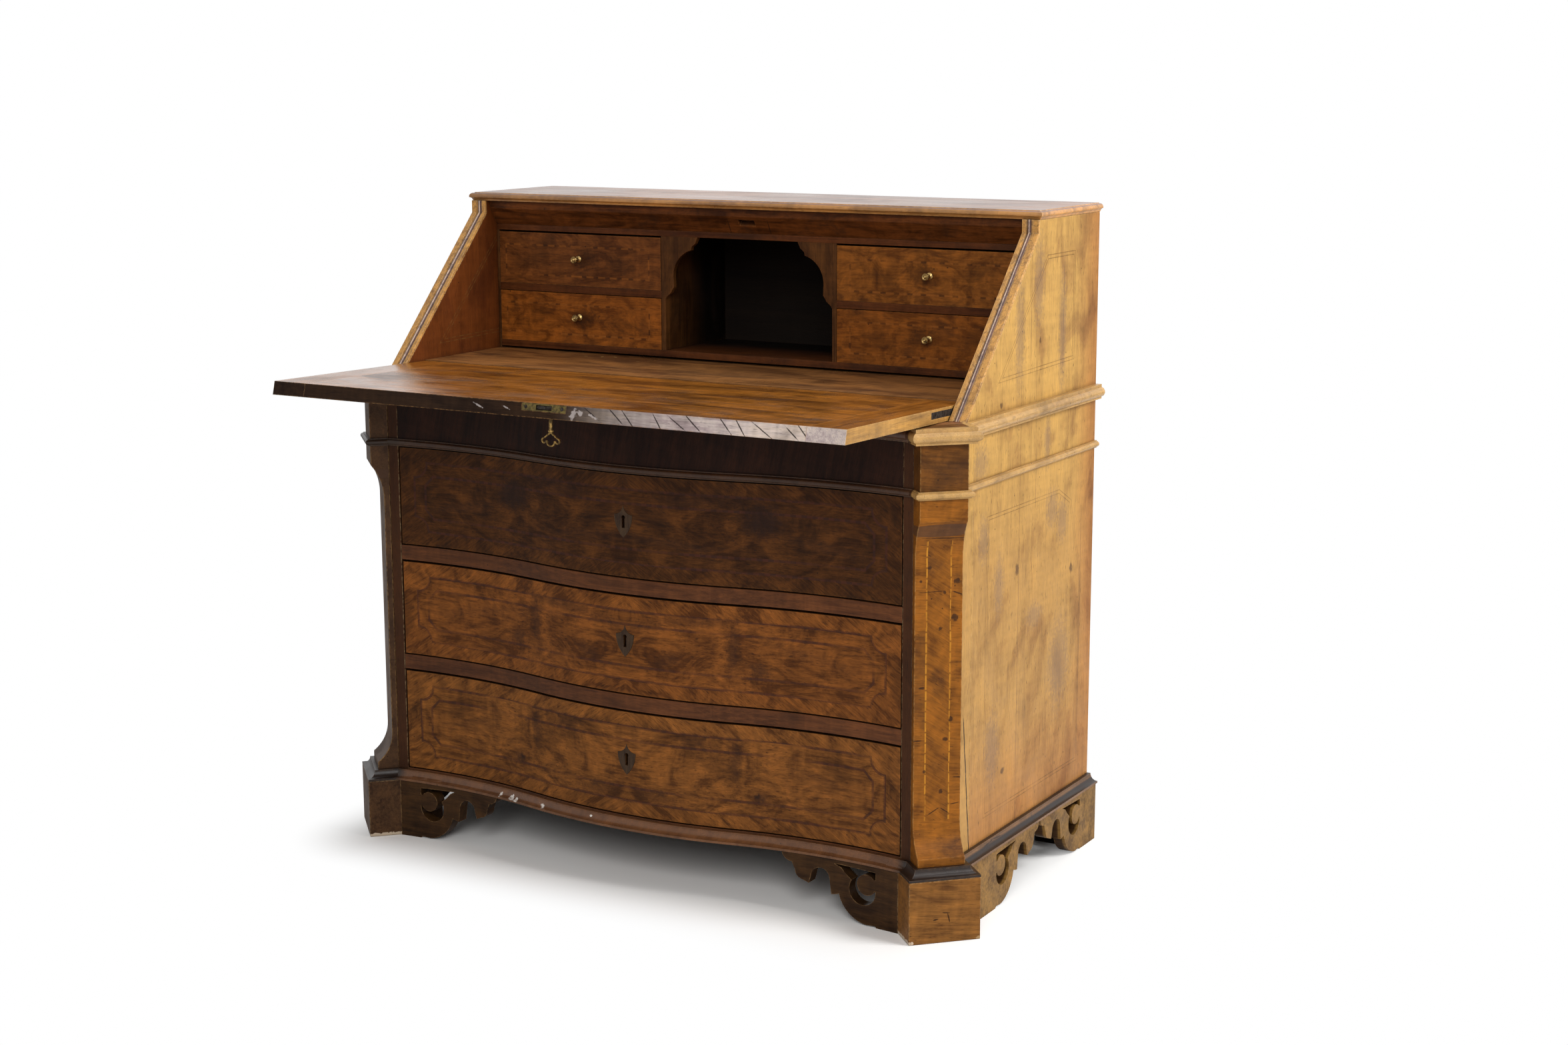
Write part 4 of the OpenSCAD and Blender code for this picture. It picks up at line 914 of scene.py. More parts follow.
@dataclass
class Carcase(Assembly):
    """Sides, back, frieze, posts, rails and the hidden boards of the case."""

    edge_mm: float = 0.9
    hidden_edge_mm: float = 0.6
    # Distance in metres from the middle where a side board's outer face starts
    outer_face: float = 0.5325
    # Place of the right side's marks in mm, just outside that face
    marks_x: float = 536
    # Corners of the sides' inlaid panels as [y, z], in mm from the case's back and the floor
    panels: tuple = (
        ((-367, 816), (-96, 822), (-98, 988), (-201, 988)),
        ((-405, 150), (-51, 150), (-51, 568), (-95, 590), (-103, 613), (-405, 613)),
    )

    def panel_lines(self) -> tuple[PanelLine, ...]:
        """Draws the double hairlines of the sides' panels.

        Returns:
            The upper and the lower panel's lines.
        """
        look = dict(light="#725029", dark="#553a20", face=Face.SIDE, width_mm=1.3, gap_mm=5.5, dash_mm=11)
        paths = [tuple((y * MM + BACK, z * MM) for y, z in corners) for corners in self.panels]
        return tuple(PanelLine(corners=path, strength=0.7, faded=0.3, **look) for path in paths)

    def side_marks(self) -> tuple[Mark, ...]:
        """Places the joints, crack, knots and blotches of the right side's veneer.

        Returns:
            The marks.
        """
        x = self.marks_x
        # Joints as [y, z, half height]; blots and knots as [y, z, half width, half height]
        seams = [(-291, 380, 500), (-50, 360, 240), (-259, 905, 95), (-137, 900, 110), (-232, 640, 60)]
        blots = [
            (-419, 581, 16, 30), (-168, 590, 20, 26), (-127, 565, 18, 30), (-362, 500, 14, 40),
            (-230, 430, 26, 18), (-130, 330, 34, 60), (-380, 250, 22, 50), (-232, 950, 16, 60),
            (-300, 880, 14, 70), (-140, 870, 12, 80), (-430, 700, 20, 24), (-190, 700, 10, 34),
        ]
        knots = [(-363, 778, 5, 4), (-297, 515, 6, 9), (-88, 480, 5, 8), (-340, 205, 6, 5), (-225, 862, 3, 5)]
        marks = [Mark(at(x, y, z), (40, 0.7, h), "#5d4030", 0.6, 0.3, 0.9) for y, z, h in seams]
        marks += [Mark(at(x, y, z), (40, w, h), "#6f5c52", 0.42, 0.7, 1.3) for y, z, w, h in blots]
        marks += [Mark(at(x, y, z), (40, w, h), "#4b3222", 0.75, 0.45, 0.8) for y, z, w, h in knots]
        # Long crack where the side's veneer has lifted beside the console
        for k in range(5):
            place = at(x, -478 + 5 * k, 300 - 44 * k)
            marks.append(Mark(place, (40, 1.7, 27), "#24160f", 0.9, 0.25, 0.5, 7 + 2 * (k % 2), 0))
        return tuple(marks)

    def build(self) -> None:
        """Makes the case's pieces."""
        gold = Tones("#bc9250", 1.2, 0.62)
        # Painted shade: the lower parts of the sides and posts darker, as the light falls from above
        gold_in_painted_shade = Tones("#ae8449", 1.2, 0.62)
        red = Tones("#a3703c", 1.25, 0.6)
        skin = Zone(Measure.SIDEWAYS, self.outer_face - 0.001, self.outer_face, gold)
        # Thin sawn veneer of light walnut, bleached by sun: soft olive streaks over gold
        side = Wood(
            "sun_bleached_walnut_veneer_on_the_sides", Tones("#633314"), grain=Grain.UPRIGHT,
            patch_mm=(120, 80), patchy=0.85, streak_mm=(330, 17), streaky=0.42, rings=0.12, fibre=0.12,
            stain="#b4a0bc", stain_mm=75, stained=0.45, soaks=True, worn="#e9cb96", wear=0.6, worm_mm=40,
            checks=0.5, painted_ripple_shade=0.05, gloss=0.12, seed=0.4, lines=self.panel_lines(), marks=self.side_marks(),
            zones=(
                # Lower part of the side painted darker as shade
                skin, Zone(Measure.ALONG_Z, 0.72, 0.5, gold_in_painted_shade, skin),
                Zone(Measure.ALONG_Z, 0.34, 0.08, red, skin), Zone(Measure.ALONG_Y, 0.3, 0.4, red, skin),
            ),
        )
        self.soften(side, "side_left", "side_right", edge_mm=self.edge_mm)
        outer = Zone(Measure.FACING_SIDE, 0.75, 0.95, gold, Zone(Measure.SIDEWAYS, 0.52, 0.525))
        # Lower part of the posts' outer faces painted darker as shade
        outer_low_in_painted_shade = Zone(Measure.ALONG_Z, 0.72, 0.5, gold_in_painted_shade, outer)
        # Solid posts, near black at the front, whose outer faces carry the sides' pale veneer
        post = replace(
            side, name="dark_walnut_posts_with_veneered_sides", tones=Tones("#3e2311"),
            zones=(outer, outer_low_in_painted_shade), stain="#2a1c14", soaks=False, stained=0.3, lines=(),
        )
        self.soften(post, "corner_post_left", "corner_post_right", edge_mm=self.edge_mm)
        # Cross-grained strips rubbed by the drawers: dark red-brown with a low shine, jointed every 150 mm
        dark = Wood(
            "dark_walnut_on_the_rails", Tones("#59331a"), streak_mm=(120, 5), block_mm=150, worn="#7b5236",
            # Strong grime and painted shade in the gaps round the drawers
            stained=0.3, patchy=0.8, rings=0.1, grime_and_shade=0.9, gloss=0.16, roughness=0.34,
        )
        self.soften(dark, "drawer_rails", edge_mm=1.1)
        # Veneer cut through a fork of the tree, its rings spread like a feather; dark walnut in painted
        # shadow
        frieze = Wood(
            # Nearly black: the walnut's own dark tone deepened as painted shadow of the open fall
            "feathered_walnut_on_the_frieze", Tones("#27140c"), grain=Grain.FEATHER, patch_mm=(120, 40),
            rings=0.3, ring_count=22, seed=2.1, worn="#5a3b27", streak_mm=(160, 7), stained=0.3, worm_mm=0,
        )
        self.soften(frieze, "frieze")
        # Pale only at the very back: inside the case the boards are painted black as shade
        inner_painted_shade = (Zone(Measure.ALONG_Y, 0.3875, 0.3866, Tones("#120c08")),)
        plain = replace(POPLAR, stain="#6f5a41", seed=3.7, zones=inner_painted_shade)
        # The same poplar, stained brown on the outside of the back
        back = replace(plain, name="dark_stained_back_board", tones=Tones("#6d5233"), stain="#15100c")
        self.soften(back, "back_panel", edge_mm=self.hidden_edge_mm)
        hidden = ("dust_boards", "drawer_guides", "rear_foot_blocks")
        self.soften(plain, *hidden, edge_mm=self.hidden_edge_mm)


@dataclass
class Corners(Assembly):
    """Canted consoles, their foot blocks and the pierced brackets."""

    edge_mm: float = 1.0
    block_edge_mm: float = 1.4
    bracket_edge_mm: float = 0.8
    # Middle of the right console's face, in mm from the desk's middle and back
    face: tuple[float, float] = (531.2, -543.2)
    # Half sizes and middle height of the consoles' banded lines, in metres
    line_half: tuple[float, float] = (0.0186, 0.212)
    line_z: float = 0.388

    def axes(self) -> tuple[Point, Point]:
        """Returns the place and turn of the axes drawn on the right console's face."""
        return at(*self.face, 0.0), (0.0, 0.0, math.pi / 4)

    def console(self) -> Wood:
        """Chooses the consoles' finish, with two banded lines, a dark cross band, worm and cracks.

        Returns:
            The finish.
        """
        line = Stringing(
            (0.0, self.line_z), self.line_half, light="#b97d26", dark="#7a4a17", width_mm=2.4, dash_mm=8.0,
            light_share=0.85, strength=0.85, faded=0.5, uprights_only=True,
        )
        # Cracks as [x, z, half width, half height, turn] and worm spots without a turn, in mm
        cracks = [
            (8, 604, 34, 0.8, 2), (-10, 524, 22, 0.6, -1), (30, 520, 10, 1.2, 20), (-5, 190, 12, 0.9, -30),
            (12, 190, 10, 0.8, 34), (-32, 300, 9, 1.1, 0), (33, 240, 8, 1.0, 4), (28, 200, 9, 0.9, -8),
        ]
        spots = [
            (-14, 560, 3, 3), (9, 522, 2.5, 3), (3, 468, 3.2, 3), (-28, 540, 2.4, 2.4), (25, 484, 5, 6),
            (28, 538, 6, 4), (12, 300, 4, 3), (-20, 252, 3, 2.4), (6, 220, 3, 4), (-25, 380, 5, 1.6),
            (20, 330, 3, 5),
        ]
        marks = [Mark((0.0, 0.0, 0.6165), (60, 60, 10.5), "#4a3324", 0.75, 0.04, 0.1)]
        for x, z, w, h, turn in cracks:
            marks.append(Mark((x * MM, 0, z * MM), (w, 60, h), "#23150c", 0.85, 0.35, 0.5, turn))
        for x, z, w, h in spots:
            marks.append(Mark((x * MM, 0, z * MM), (w, 60, h), "#2a190e", 0.8, 0.4, 0.5))
        # Painted shadow of the open fall on the consoles' heads
        head_in_painted_shadow = Zone(Measure.ALONG_Z, 0.6645, 0.6655, Tones("#553311", 1.6, 0.55))
        # Cross-banded veneer, short-grained and wormy: warm gold, the head painted darker as the fall's
        # shadow
        return Wood(
            "cross_banded_walnut_on_the_consoles", Tones("#7d4b15", 1.35, 0.55), grain=Grain.CANTED,
            patch_mm=(60, 40), patchy=1.5, streak_mm=(70, 4), streaky=0.55, rings=0.15, ring_count=20,
            seed=4.4, worn="#d9ab6a", wear=0.7, stained=0.4, stain_mm=50, border=Grain.CANTED_BAND,
            mirrored=True, axes=self.axes(), lines=(line,), gloss=0.12, zones=(head_in_painted_shadow, LEFT_CORNER_PAINTED_SHADE),
            marks=tuple(marks), worm_mm=22, checks=0.5,
        )

    def build(self) -> None:
        """Makes the corners' pieces."""
        self.soften(self.console(), "console_left", "console_right", edge_mm=self.edge_mm)
        # Dents and chips as [x, z, half width, half height, colour, strength, ragged, soft, turn], in mm
        dents = (
            (6, 38, 1.2, 9, "#2a190e", 0.8, 0.3, 0.5, -14), (1, 46.5, 6, 1.3, "#2a190e", 0.8, 0.3, 0.5, 8),
            (-14, 37, 5, 1.4, "#2a190e", 0.8, 0.3, 0.5, -10), (-56, 2, 7, 4, "#cdb9a0", 0.9, 0.5, 0.4, 0),
            (56, 2, 8, 3, "#b99a70", 0.7, 0.5, 0.4, 0),
        )
        marks = tuple(Mark((x * MM, 0, z * MM), (w, 90, h), *look) for x, z, w, h, *look in dents)
        # Solid walnut with the grain across, knocked by brooms and boots: pale corners and dark dents
        block = Wood(
            "walnut_foot_blocks", Tones("#795025", 1.3, 0.55), grain=Grain.CANTED_BAND, streak_mm=(90, 5),
            patch_mm=(80, 30), seed=5.2, worn="#cfae7e", wear=0.7, stained=0.35, stain_mm=60, mirrored=True,
            axes=self.axes(), marks=marks, zones=(LEFT_CORNER_PAINTED_SHADE,),
        )
        self.soften(block, "foot_block_left", "foot_block_right", edge_mm=self.block_edge_mm)
        # Sawn walnut, unpolished at the cuts: dark at the front and lighter on the sides
        bracket = Wood(
            "sawn_walnut_brackets", Tones("#392513"), streak_mm=(150, 6), patch_mm=(90, 35), seed=6.1,
            worn="#a98457", wear=0.5, stained=0.4,
            zones=(Zone(Measure.SIDEWAYS, 0.545, 0.5495, Tones("#7d5d30")),),
        )
        names = ("front_bracket_left", "front_bracket_right", "side_brackets_left", "side_brackets_right")
        self.soften(bracket, *names, edge_mm=self.bracket_edge_mm)


@dataclass
class Mouldings(Assembly):
    """Base, astragal, waist and slant mouldings with the ledge behind them."""

    slant_edge_mm: float = 0.9
    # Beyond this distance in metres from the middle a moulding belongs to a side or a console
    side_run: float = 0.49

    def base_marks(self) -> tuple[Mark, ...]:
        """Places the white chips of the base moulding's front and the split on its right side.

        Returns:
            The marks.
        """
        # Chips as [x, y, z, half width, half height]; the split as [y, z, turn] of its lengths
        chips = (
            (-263, -566, 104, 5, 2), (-238, -570, 104, 7, 2.5), (-227, -572, 102, 4, 2),
            (-171, -583, 104, 8, 1.6), (-66, -598, 106, 5, 1.2),
        )
        split = ((-440, 103, 8), (-405, 107, 5), (-372, 108, -4), (-245, 104, 60))
        marks = []
        for x, y, z, w, h in chips:
            marks.append(Mark(at(x, y, z), (w, 11, 1.5 * h), "#e6e0d8", 0.95, 0.5, 0.3, 10))
        for y, z, turn in split:
            marks.append(Mark(at(556, y, z), (24, 22, 1.1), "#22150f", 0.9, 0.3, 0.5, turn, 0))
        return tuple(marks)

    def build(self) -> None:
        """Makes the mouldings."""
        light = Zone(Measure.SIDEWAYS, self.side_run - 0.004, self.side_run, Tones("#b28b53", 1.2, 0.75))
        left_front = Zone(Measure.ALONG_Y, -0.055, -0.065)
        shaded = Zone(Measure.ALONG_X, -0.44, -0.48, Tones("#33251b"), left_front)
        corner = Zone(Measure.SIDEWAYS, 0.46, 0.48, Tones("#20150f"))
        side = Zone(Measure.SIDEWAYS, 0.535, 0.545)
        outer = Zone(Measure.FACING_SIDE, 0.8, 0.95, Tones("#74502f"), side)
        run = dict(
            grain=Grain.DEEP, streak_mm=(60, 8), fibre=0.12, worm_mm=26, patch_mm=(90, 40), patchy=0.9,
            streaky=0.4, rings=0.0, roughness=0.3,
        )
        # Scraped walnut polished by dusting: dark, with bright noses and white chips in the ground
        base = Wood(
            "dark_walnut_base_moulding", Tones("#694429"), zones=(corner, outer), worn="#8d6a4c", wear=0.4,
            gloss=0.35, seed=7.3, marks=self.base_marks(), **run,
        )
        self.soften(base, "base_moulding")
        # The same scraped walnut, dark over the drawers and bleached along the sides
        astragal = Wood(
            "walnut_astragal", Tones("#3f291b"), zones=(light, shaded), worn="#8a6440", wear=0.2, gloss=0.3,
            seed=8.1, **run,
        )
        self.soften(astragal, "astragal_moulding")
        # As the astragal, with a paler nose where the fall and hands rub it
        waist = Wood(
            "walnut_waist_moulding", Tones("#4a2e1d"), zones=(light, shaded), worn="#d8b37c", wear=0.3,
            gloss=0.4, seed=8.8, **run,
        )
        self.soften(waist, "waist_moulding")
        # Plain walnut under the fall: mid brown, scuffed and without shine
        self.soften(Wood("walnut_ledge", Tones("#7d5230"), seed=9.2), "fall_ledge")
        gold = Tones("#bd8b4a", 1.25, 0.55)
        umber = Tones("#54362c", 1.4, 0.5)
        # Reeded walnut: golden hollows and dark reeds, with a painted highlight along the bead between them
        slant = Wood(
            "golden_walnut_on_the_slant", gold, grain=Grain.RAKED, patch_mm=(50, 10), patchy=1.6,
            streak_mm=(120, 3), streaky=0.45, worn="#eed0a0", wear=0.45, seed=9.9, worm_mm=15, checks=0.5,
            stained=0.2, stain_mm=30, rings=0.1, gloss=0.4,
            zones=(
                Zone(Measure.SIDEWAYS, 0.5155, 0.5165, umber),
                # Painted highlight: a pale line along the bead
                Zone(Measure.SIDEWAYS, 0.5184, 0.519, Tones("#c0a898")),
                Zone(Measure.SIDEWAYS, 0.5208, 0.5214, umber), Zone(Measure.SIDEWAYS, 0.5232, 0.524, gold),
            ),
        )
        self.soften(slant, "slant_moulding_left", "slant_moulding_right", edge_mm=self.slant_edge_mm)


@dataclass
class Top(Assembly):
    """Top board and the strike rail under it."""

    nose_mm: float = 1.2

    def build(self) -> None:
        """Makes the top's pieces."""
        # Wax over polish on broad boards: cool brown above with a sheen, warm and rubbed at the nose
        board = Wood(
            "polished_walnut_top", Tones("#7d5236"), patch_mm=(260, 60), streak_mm=(420, 12), seed=10.4,
            worn="#e0ae6a", wear=0.7, roughness=0.3, gloss=0.5, coat=0.3, block_mm=260,
            zones=(Zone(Measure.FACING_UP, 0.9, 0.6, Tones("#b07c42", 1.3, 0.55)),),
        )
        self.soften(board, "top_board", edge_mm=self.nose_mm)
        # Upright joints at both ends of the piece that is let in round the bolt's slot
        joints = tuple(
            Mark(at(x, -216, 1014), (0.9, 40, 16), "#1d120b", 0.7, 0.15, 0.4, 2) for x in (-29, 47)
        )
        # Swirling veneer in short lengths: dark red-brown with black figure
        rail = Wood(
            "figured_walnut_on_the_strike_rail", Tones("#552e13", 1.5, 0.45), patch_mm=(90, 26), patchy=1.8,
            streak_mm=(140, 6), swirl=1.0, rings=0.4, ring_count=20, seed=11.5, worn="#b07a48", stain_mm=40,
            stained=0.5, block_mm=330, block_shade=0.2, marks=joints,
        )
        self.soften(rail, "strike_rail")


@dataclass
class Gallery(Assembly):
    """Writing board, well, sliding cover and the pigeonholes' woodwork."""

    edge_mm: float = 0.6

    def dust(self) -> tuple[Mark, ...]:
        """Places the specks of wood meal that lie on the writing board.

        Returns:
            The marks.
        """
        # As [x, y, half width, half depth] in mm
        specks = [
            (-445, -165, 3, 1), (-420, -150, 2.4, 1), (-395, -190, 3, 1.2), (-380, -140, 2, 1.4),
            (-350, -170, 3.4, 1), (-330, -205, 2.4, 2), (-270, -235, 7, 2), (-248, -228, 8, 1.6),
            (-300, -240, 4, 1.6), (-180, -262, 3, 1.4), (-120, -285, 2, 2), (170, -352, 2, 2),
        ]
        return tuple(
            Mark(at(x, y, 789), (w, h, 6), "#c9a468", 0.5, 0.7, 0.8, 20 * k, 2)
            for k, (x, y, w, h) in enumerate(specks)
        )

    def build(self) -> None:
        """Makes the interior's pieces."""
        # Polish worn by writing and ink: orange-brown clouds under dark streaks
        board = Wood(
            "worn_walnut_writing_board", Tones("#885b33", 1.4, 0.45), patch_mm=(150, 45), patchy=2.0,
            streak_mm=(220, 8), streaky=1.1, seed=12.6, roughness=0.32, gloss=0.28, worn="#a8713f",
            rings=0.15, stained=0.45, marks=self.dust(),
        )
        self.soften(board, "writing_board", "well_cover", edge_mm=self.edge_mm)
        # Painted shade: the gallery's woodwork black further in from its front
        recess_painted_shade = Zone(Measure.ALONG_Y, 0.20, 0.33, Tones("#0b0705"))
        # Thin solid walnut: dark brown at the front edge, painted black further in as the gallery's shade
        inner = Wood(
            "walnut_gallery_woodwork", Tones("#512c15"), streak_mm=(180, 5), seed=13.3, worn="#7d5130",
            stained=0.5, zones=(recess_painted_shade,),
        )
        self.soften(inner, "gallery_floor", "gallery_top", "gallery_shelves", edge_mm=self.edge_mm)
        # The same walnut with its grain upright and stronger clouds, painted black further in as shade
        upright = Wood(
            "walnut_gallery_uprights", Tones("#533318"), grain=Grain.UPRIGHT, streak_mm=(140, 5), seed=14.2,
            worn="#74492a", stained=0.4, patchy=2.0, zones=(recess_painted_shade,),
        )
        self.soften(upright, "gallery_uprights", "spandrels", edge_mm=self.edge_mm)
        # Unpolished poplar, out of the light: light brown and dull
        well = Wood("poplar_well", Tones("#8f7048"), roughness=0.7, seed=15.1, worn="#bb9f74")
        self.soften(well, "well_box", edge_mm=self.edge_mm)


@dataclass
class Fall(Assembly):
    """The pivoted fall with its cleats, ironwork, lock and key."""

    edge_mm: float = 0.9
    iron_edge_mm: float = 0.25
    # Place of the marks on the front edge, from the case's back and the floor
    edge_y: float = -797
    edge_z: float = 787

    def edge_marks(self) -> tuple[Mark, ...]:
        """Places the slanting checks and scuffs of the fall's rough front edge.

        Returns:
            The marks.
        """
        marks = []
        for k in range(12):
            place = at(90 + 36 * k + 9 * math.sin(2.3 * k), self.edge_y, self.edge_z + 2 * math.cos(k))
            size = (16 + 3 * (k % 3), 40, 0.9)
            marks.append(Mark(place, size, "#2b2322", 0.9, 0.35, 0.6, 30 + 7 * (k % 4)))
        # Scuffs as [x, half width, half height]
        for x, w, h in [(60, 4, 7), (72, 6, 3), (-110, 9, 1.2), (92, 9, 1.6), (-60, 7, 1.0)]:
            place = at(x, self.edge_y, self.edge_z + 2 * math.sin(x))
            marks.append(Mark(place, (w, 40, h), "#c8bcb8", 0.6, 0.8, 0.5, 20))
        return tuple(marks)

    def build(self) -> None:
        """Makes the fall's pieces."""
        front = Zone(Measure.FACING_FRONT, 0.6, 0.9)
        dark_edge = replace(front, tones=Tones("#2d1e14", 1.3, 0.6))
        # Painted glare: the right half of the front edge painted pale as the light's reflection
        painted_glare_on_edge = Zone(Measure.ALONG_X, 0.02, 0.26, Tones("#c9b9b2", 1.15, 0.7), front)
        lid = dict(tones=Tones("#8f581f", 1.45, 0.45), roughness=0.2, gloss=0.45, worm_mm=0, bare=front)
        # Best veneer under thick shellac: glowing orange clouds, with painted glare on the bare front edge
        panel = Wood(
            "polished_walnut_fall", patch_mm=(150, 48), patchy=2.2, streak_mm=(200, 8), streaky=0.8,
            swirl=0.6, seed=16.4, worn="#b98a58", wear=0.6, rings=0.12, stained=0.5, stain_mm=70, painted_ripple_shade=0.12,
            zones=(dark_edge, painted_glare_on_edge), marks=self.edge_marks(), **lid,
        )
        self.soften(panel, "fall_panel", edge_mm=self.edge_mm)
        # The same polish on solid cleats: grain from front to back, pale end grain at the sides
        end_grain = Zone(Measure.SIDEWAYS, 0.5052, 0.5056, Tones("#a3793f", 1.3, 0.55))
        cleat = Wood(
            "walnut_cleats", grain=Grain.DEEP, patch_mm=(120, 40), streak_mm=(160, 7), seed=17.2,
            # The same painted glare on the front edge
            worn="#d9b27a", wear=0.5, rings=0.15, zones=(end_grain, dark_edge, painted_glare_on_edge), **lid,
        )
        self.soften(cleat, "fall_cleats", edge_mm=self.edge_mm)
        # Hammered and filed iron: near black, dull, browned by rust
        iron = Metal("forged_iron_plates", "#4b4642", "#2a211b", 0.7, 0.5)
        works = ("fall_pivots", "fall_screws", "fall_lock", "fall_bolt")
        self.soften(iron, *works, edge_mm=self.iron_edge_mm)
        # Sheet brass gone olive-brown, bright only where the bolt rubs
        brass = Metal("old_brass_selvedge", "#6f6038", "#4d4227", 0.7, 0.42)
        self.soften(brass, "fall_selvedge", edge_mm=self.iron_edge_mm)
        # Cut iron plate blackened by oil
        plate = Metal("blackened_iron_escutcheon", "#4d463f", "#2b211a", 0.7, 0.5)
        self.soften(plate, "fall_escutcheon", edge_mm=0.2)
        # Cast brass worn smooth by fingers: dull gold with dark hollows
        key = Metal("worn_brass_on_the_key", "#a88850", "#4f3f27", 0.7, 0.38)
        self.soften(key, "fall_key", edge_mm=0.95, segments=3)


@dataclass
class LongDrawers(Assembly):
    """Three serpentine drawers with double stringing, shield escutcheons and plain boxes."""

    # Half width of the fronts, in metres
    half_w: float = 0.464
    line_mm: float = 4.2
    # Outer and inner line as [inset at the ends and at top and bottom in metres, corner, its size in mm]
    insets: tuple = ((0.027, 0.023, Corner.HOLLOW, 25), (0.048, 0.045, Corner.CUT, 16))
    # Bottom and top of each front, in mm from the floor
    fronts: dict = field(
        default_factory=lambda: {"low": (116.5, 283.5), "mid": (313.75, 469.75), "high": (500.0, 661.5)}
    )
    # Smudges, knots and dark veins of each front as [x, z, half width, half height, turn, strength]
    blots: dict = field(default_factory=lambda: {
        "low": (
            (-229, 201, 20, 24, 0, 0.6), (188, 226, 9, 30, 4, 0.5), (225, 170, 10, 7, -10, 0.7),
            (-120, 240, 60, 14, -8, 0.35), (60, 150, 40, 8, 5, 0.35), (-20, 190, 14, 30, 0, 0.3),
            (330, 210, 60, 6, 12, 0.25), (120, 250, 26, 10, 0, 0.4), (222, 172, 4, 3, 0, 0.8),
            (60, 160, 12, 4, 10, 0.5),
        ),
        "mid": (
            (-231, 380, 16, 13, 20, 0.75), (-138, 430, 34, 26, -25, 0.55), (-170, 395, 60, 30, -10, 0.4),
            (184, 400, 10, 34, 3, 0.5), (226, 372, 14, 10, 0, 0.6), (-240, 345, 22, 10, 10, 0.6),
            (20, 425, 50, 8, -6, 0.3), (70, 372, 26, 9, -20, 0.4), (120, 440, 60, 7, -4, 0.35),
            (320, 400, 70, 7, 10, 0.25), (-60, 350, 50, 5, -14, 0.4),
        ),
        "high": (
            (232, 605, 26, 22, 0, 0.75), (-279, 600, 50, 44, -20, 0.5), (-174, 569, 40, 40, 0, 0.5),
            (-50, 640, 50, 16, -8, 0.5), (-380, 620, 40, 30, 0, 0.35), (60, 560, 90, 7, 3, 0.3),
            (120, 630, 70, 12, -4, 0.35), (340, 570, 60, 8, 8, 0.3), (-20, 590, 30, 34, 0, 0.35),
        ),
    })

    def stringing(self, low: float, high: float) -> tuple[Stringing, ...]:
        """Returns the outer line with hollow corners and the inner one with cut corners.

        Args:
            low: Bottom of the front in mm.
            high: Top of the front in mm.

        Returns:
            Both lines.
        """
        middle = (0.0, (low + high) / 2 * MM)
        half_h = (high - low) / 2 * MM
        look = dict(light="#45261c", dark="#35201b", dash_mm=9.0, faded=0.42, strength=0.75)
        look["width_mm"] = self.line_mm
        return tuple(
            Stringing(middle, (self.half_w - end, half_h - edge), corner=corner, corner_mm=size, **look)
            for end, edge, corner, size in self.insets
        )

    def marks(self, name: str) -> tuple[Mark, ...]:
        """Places the smudges of one front.

        Args:
            name: Name of the drawer.

        Returns:
            The marks.
        """
        return tuple(
            Mark(at(x, -560, z), (w, 90, h), "#2a1a14", share, 0.6, 1.4, turn)
            for x, z, w, h, turn, share in self.blots[name]
        )

    def build(self) -> None:
        """Makes the long drawers."""
        # The high drawer's darker tone holds painted shadow of the open fall
        tones = {
            "high": Tones("#43260e", 1.7, 0.5), "mid": Tones("#71421b", 1.5, 0.45),
            "low": Tones("#74471f", 1.5, 0.45),
        }
        # Clean, dry poplar: pale and even, as wood that is kept from light
        inside = replace(
            POPLAR, name="poplar_drawer_boxes", tones=Tones("#9b7b52"), seed=18.8, stained=0.15
        )
        self.soften(inside, *[f"drawer_{name}_box" for name in self.fronts], edge_mm=0.6)
        # Pressed horn round the keyholes: dark brown, fine-fibred and nearly as dark as the wood
        horn = Wood(
            "brown_horn_shields", Tones("#3f3024", 1.2, 0.7), grain=Grain.UPRIGHT, patch_mm=(30, 12),
            streak_mm=(30, 2), fibre=0.2, pores=0.1, checks=0.1, worm_mm=0, stained=0.1, rings=0.0,
            worn="#5a4634", wear=0.3, seed=19.3,
        )
        self.soften(horn, *[f"drawer_{name}_lock" for name in self.fronts], edge_mm=0.2)
        for number, (name, (low, high)) in enumerate(self.fronts.items()):
            # Burr-like veneer, mirrored at the middle: swirls of dark brown over amber, with a raked border
            veneer = Wood(
                f"figured_walnut_on_the_{name}_drawer", tones[name], patch_mm=(80, 44), patchy=1.8,
                streak_mm=(60, 4), streaky=0.7, swirl=1.6, rings=0.35, ring_count=16, pores=0.4, stained=0.4,
                stain="#1f130c", stain_mm=70, checks=0.5, lines=self.stringing(low, high), mirrored=True,
                border=Grain.BORDER, seed=20 + 3.1 * number, worn="#8f6138", marks=self.marks(name),
                # Strong grime and painted shade in the gaps round the front
                worm_mm=44, grime_and_shade=0.9,
            )
            self.soften(veneer, f"drawer_{name}_front", edge_mm=2.0, segments=3)


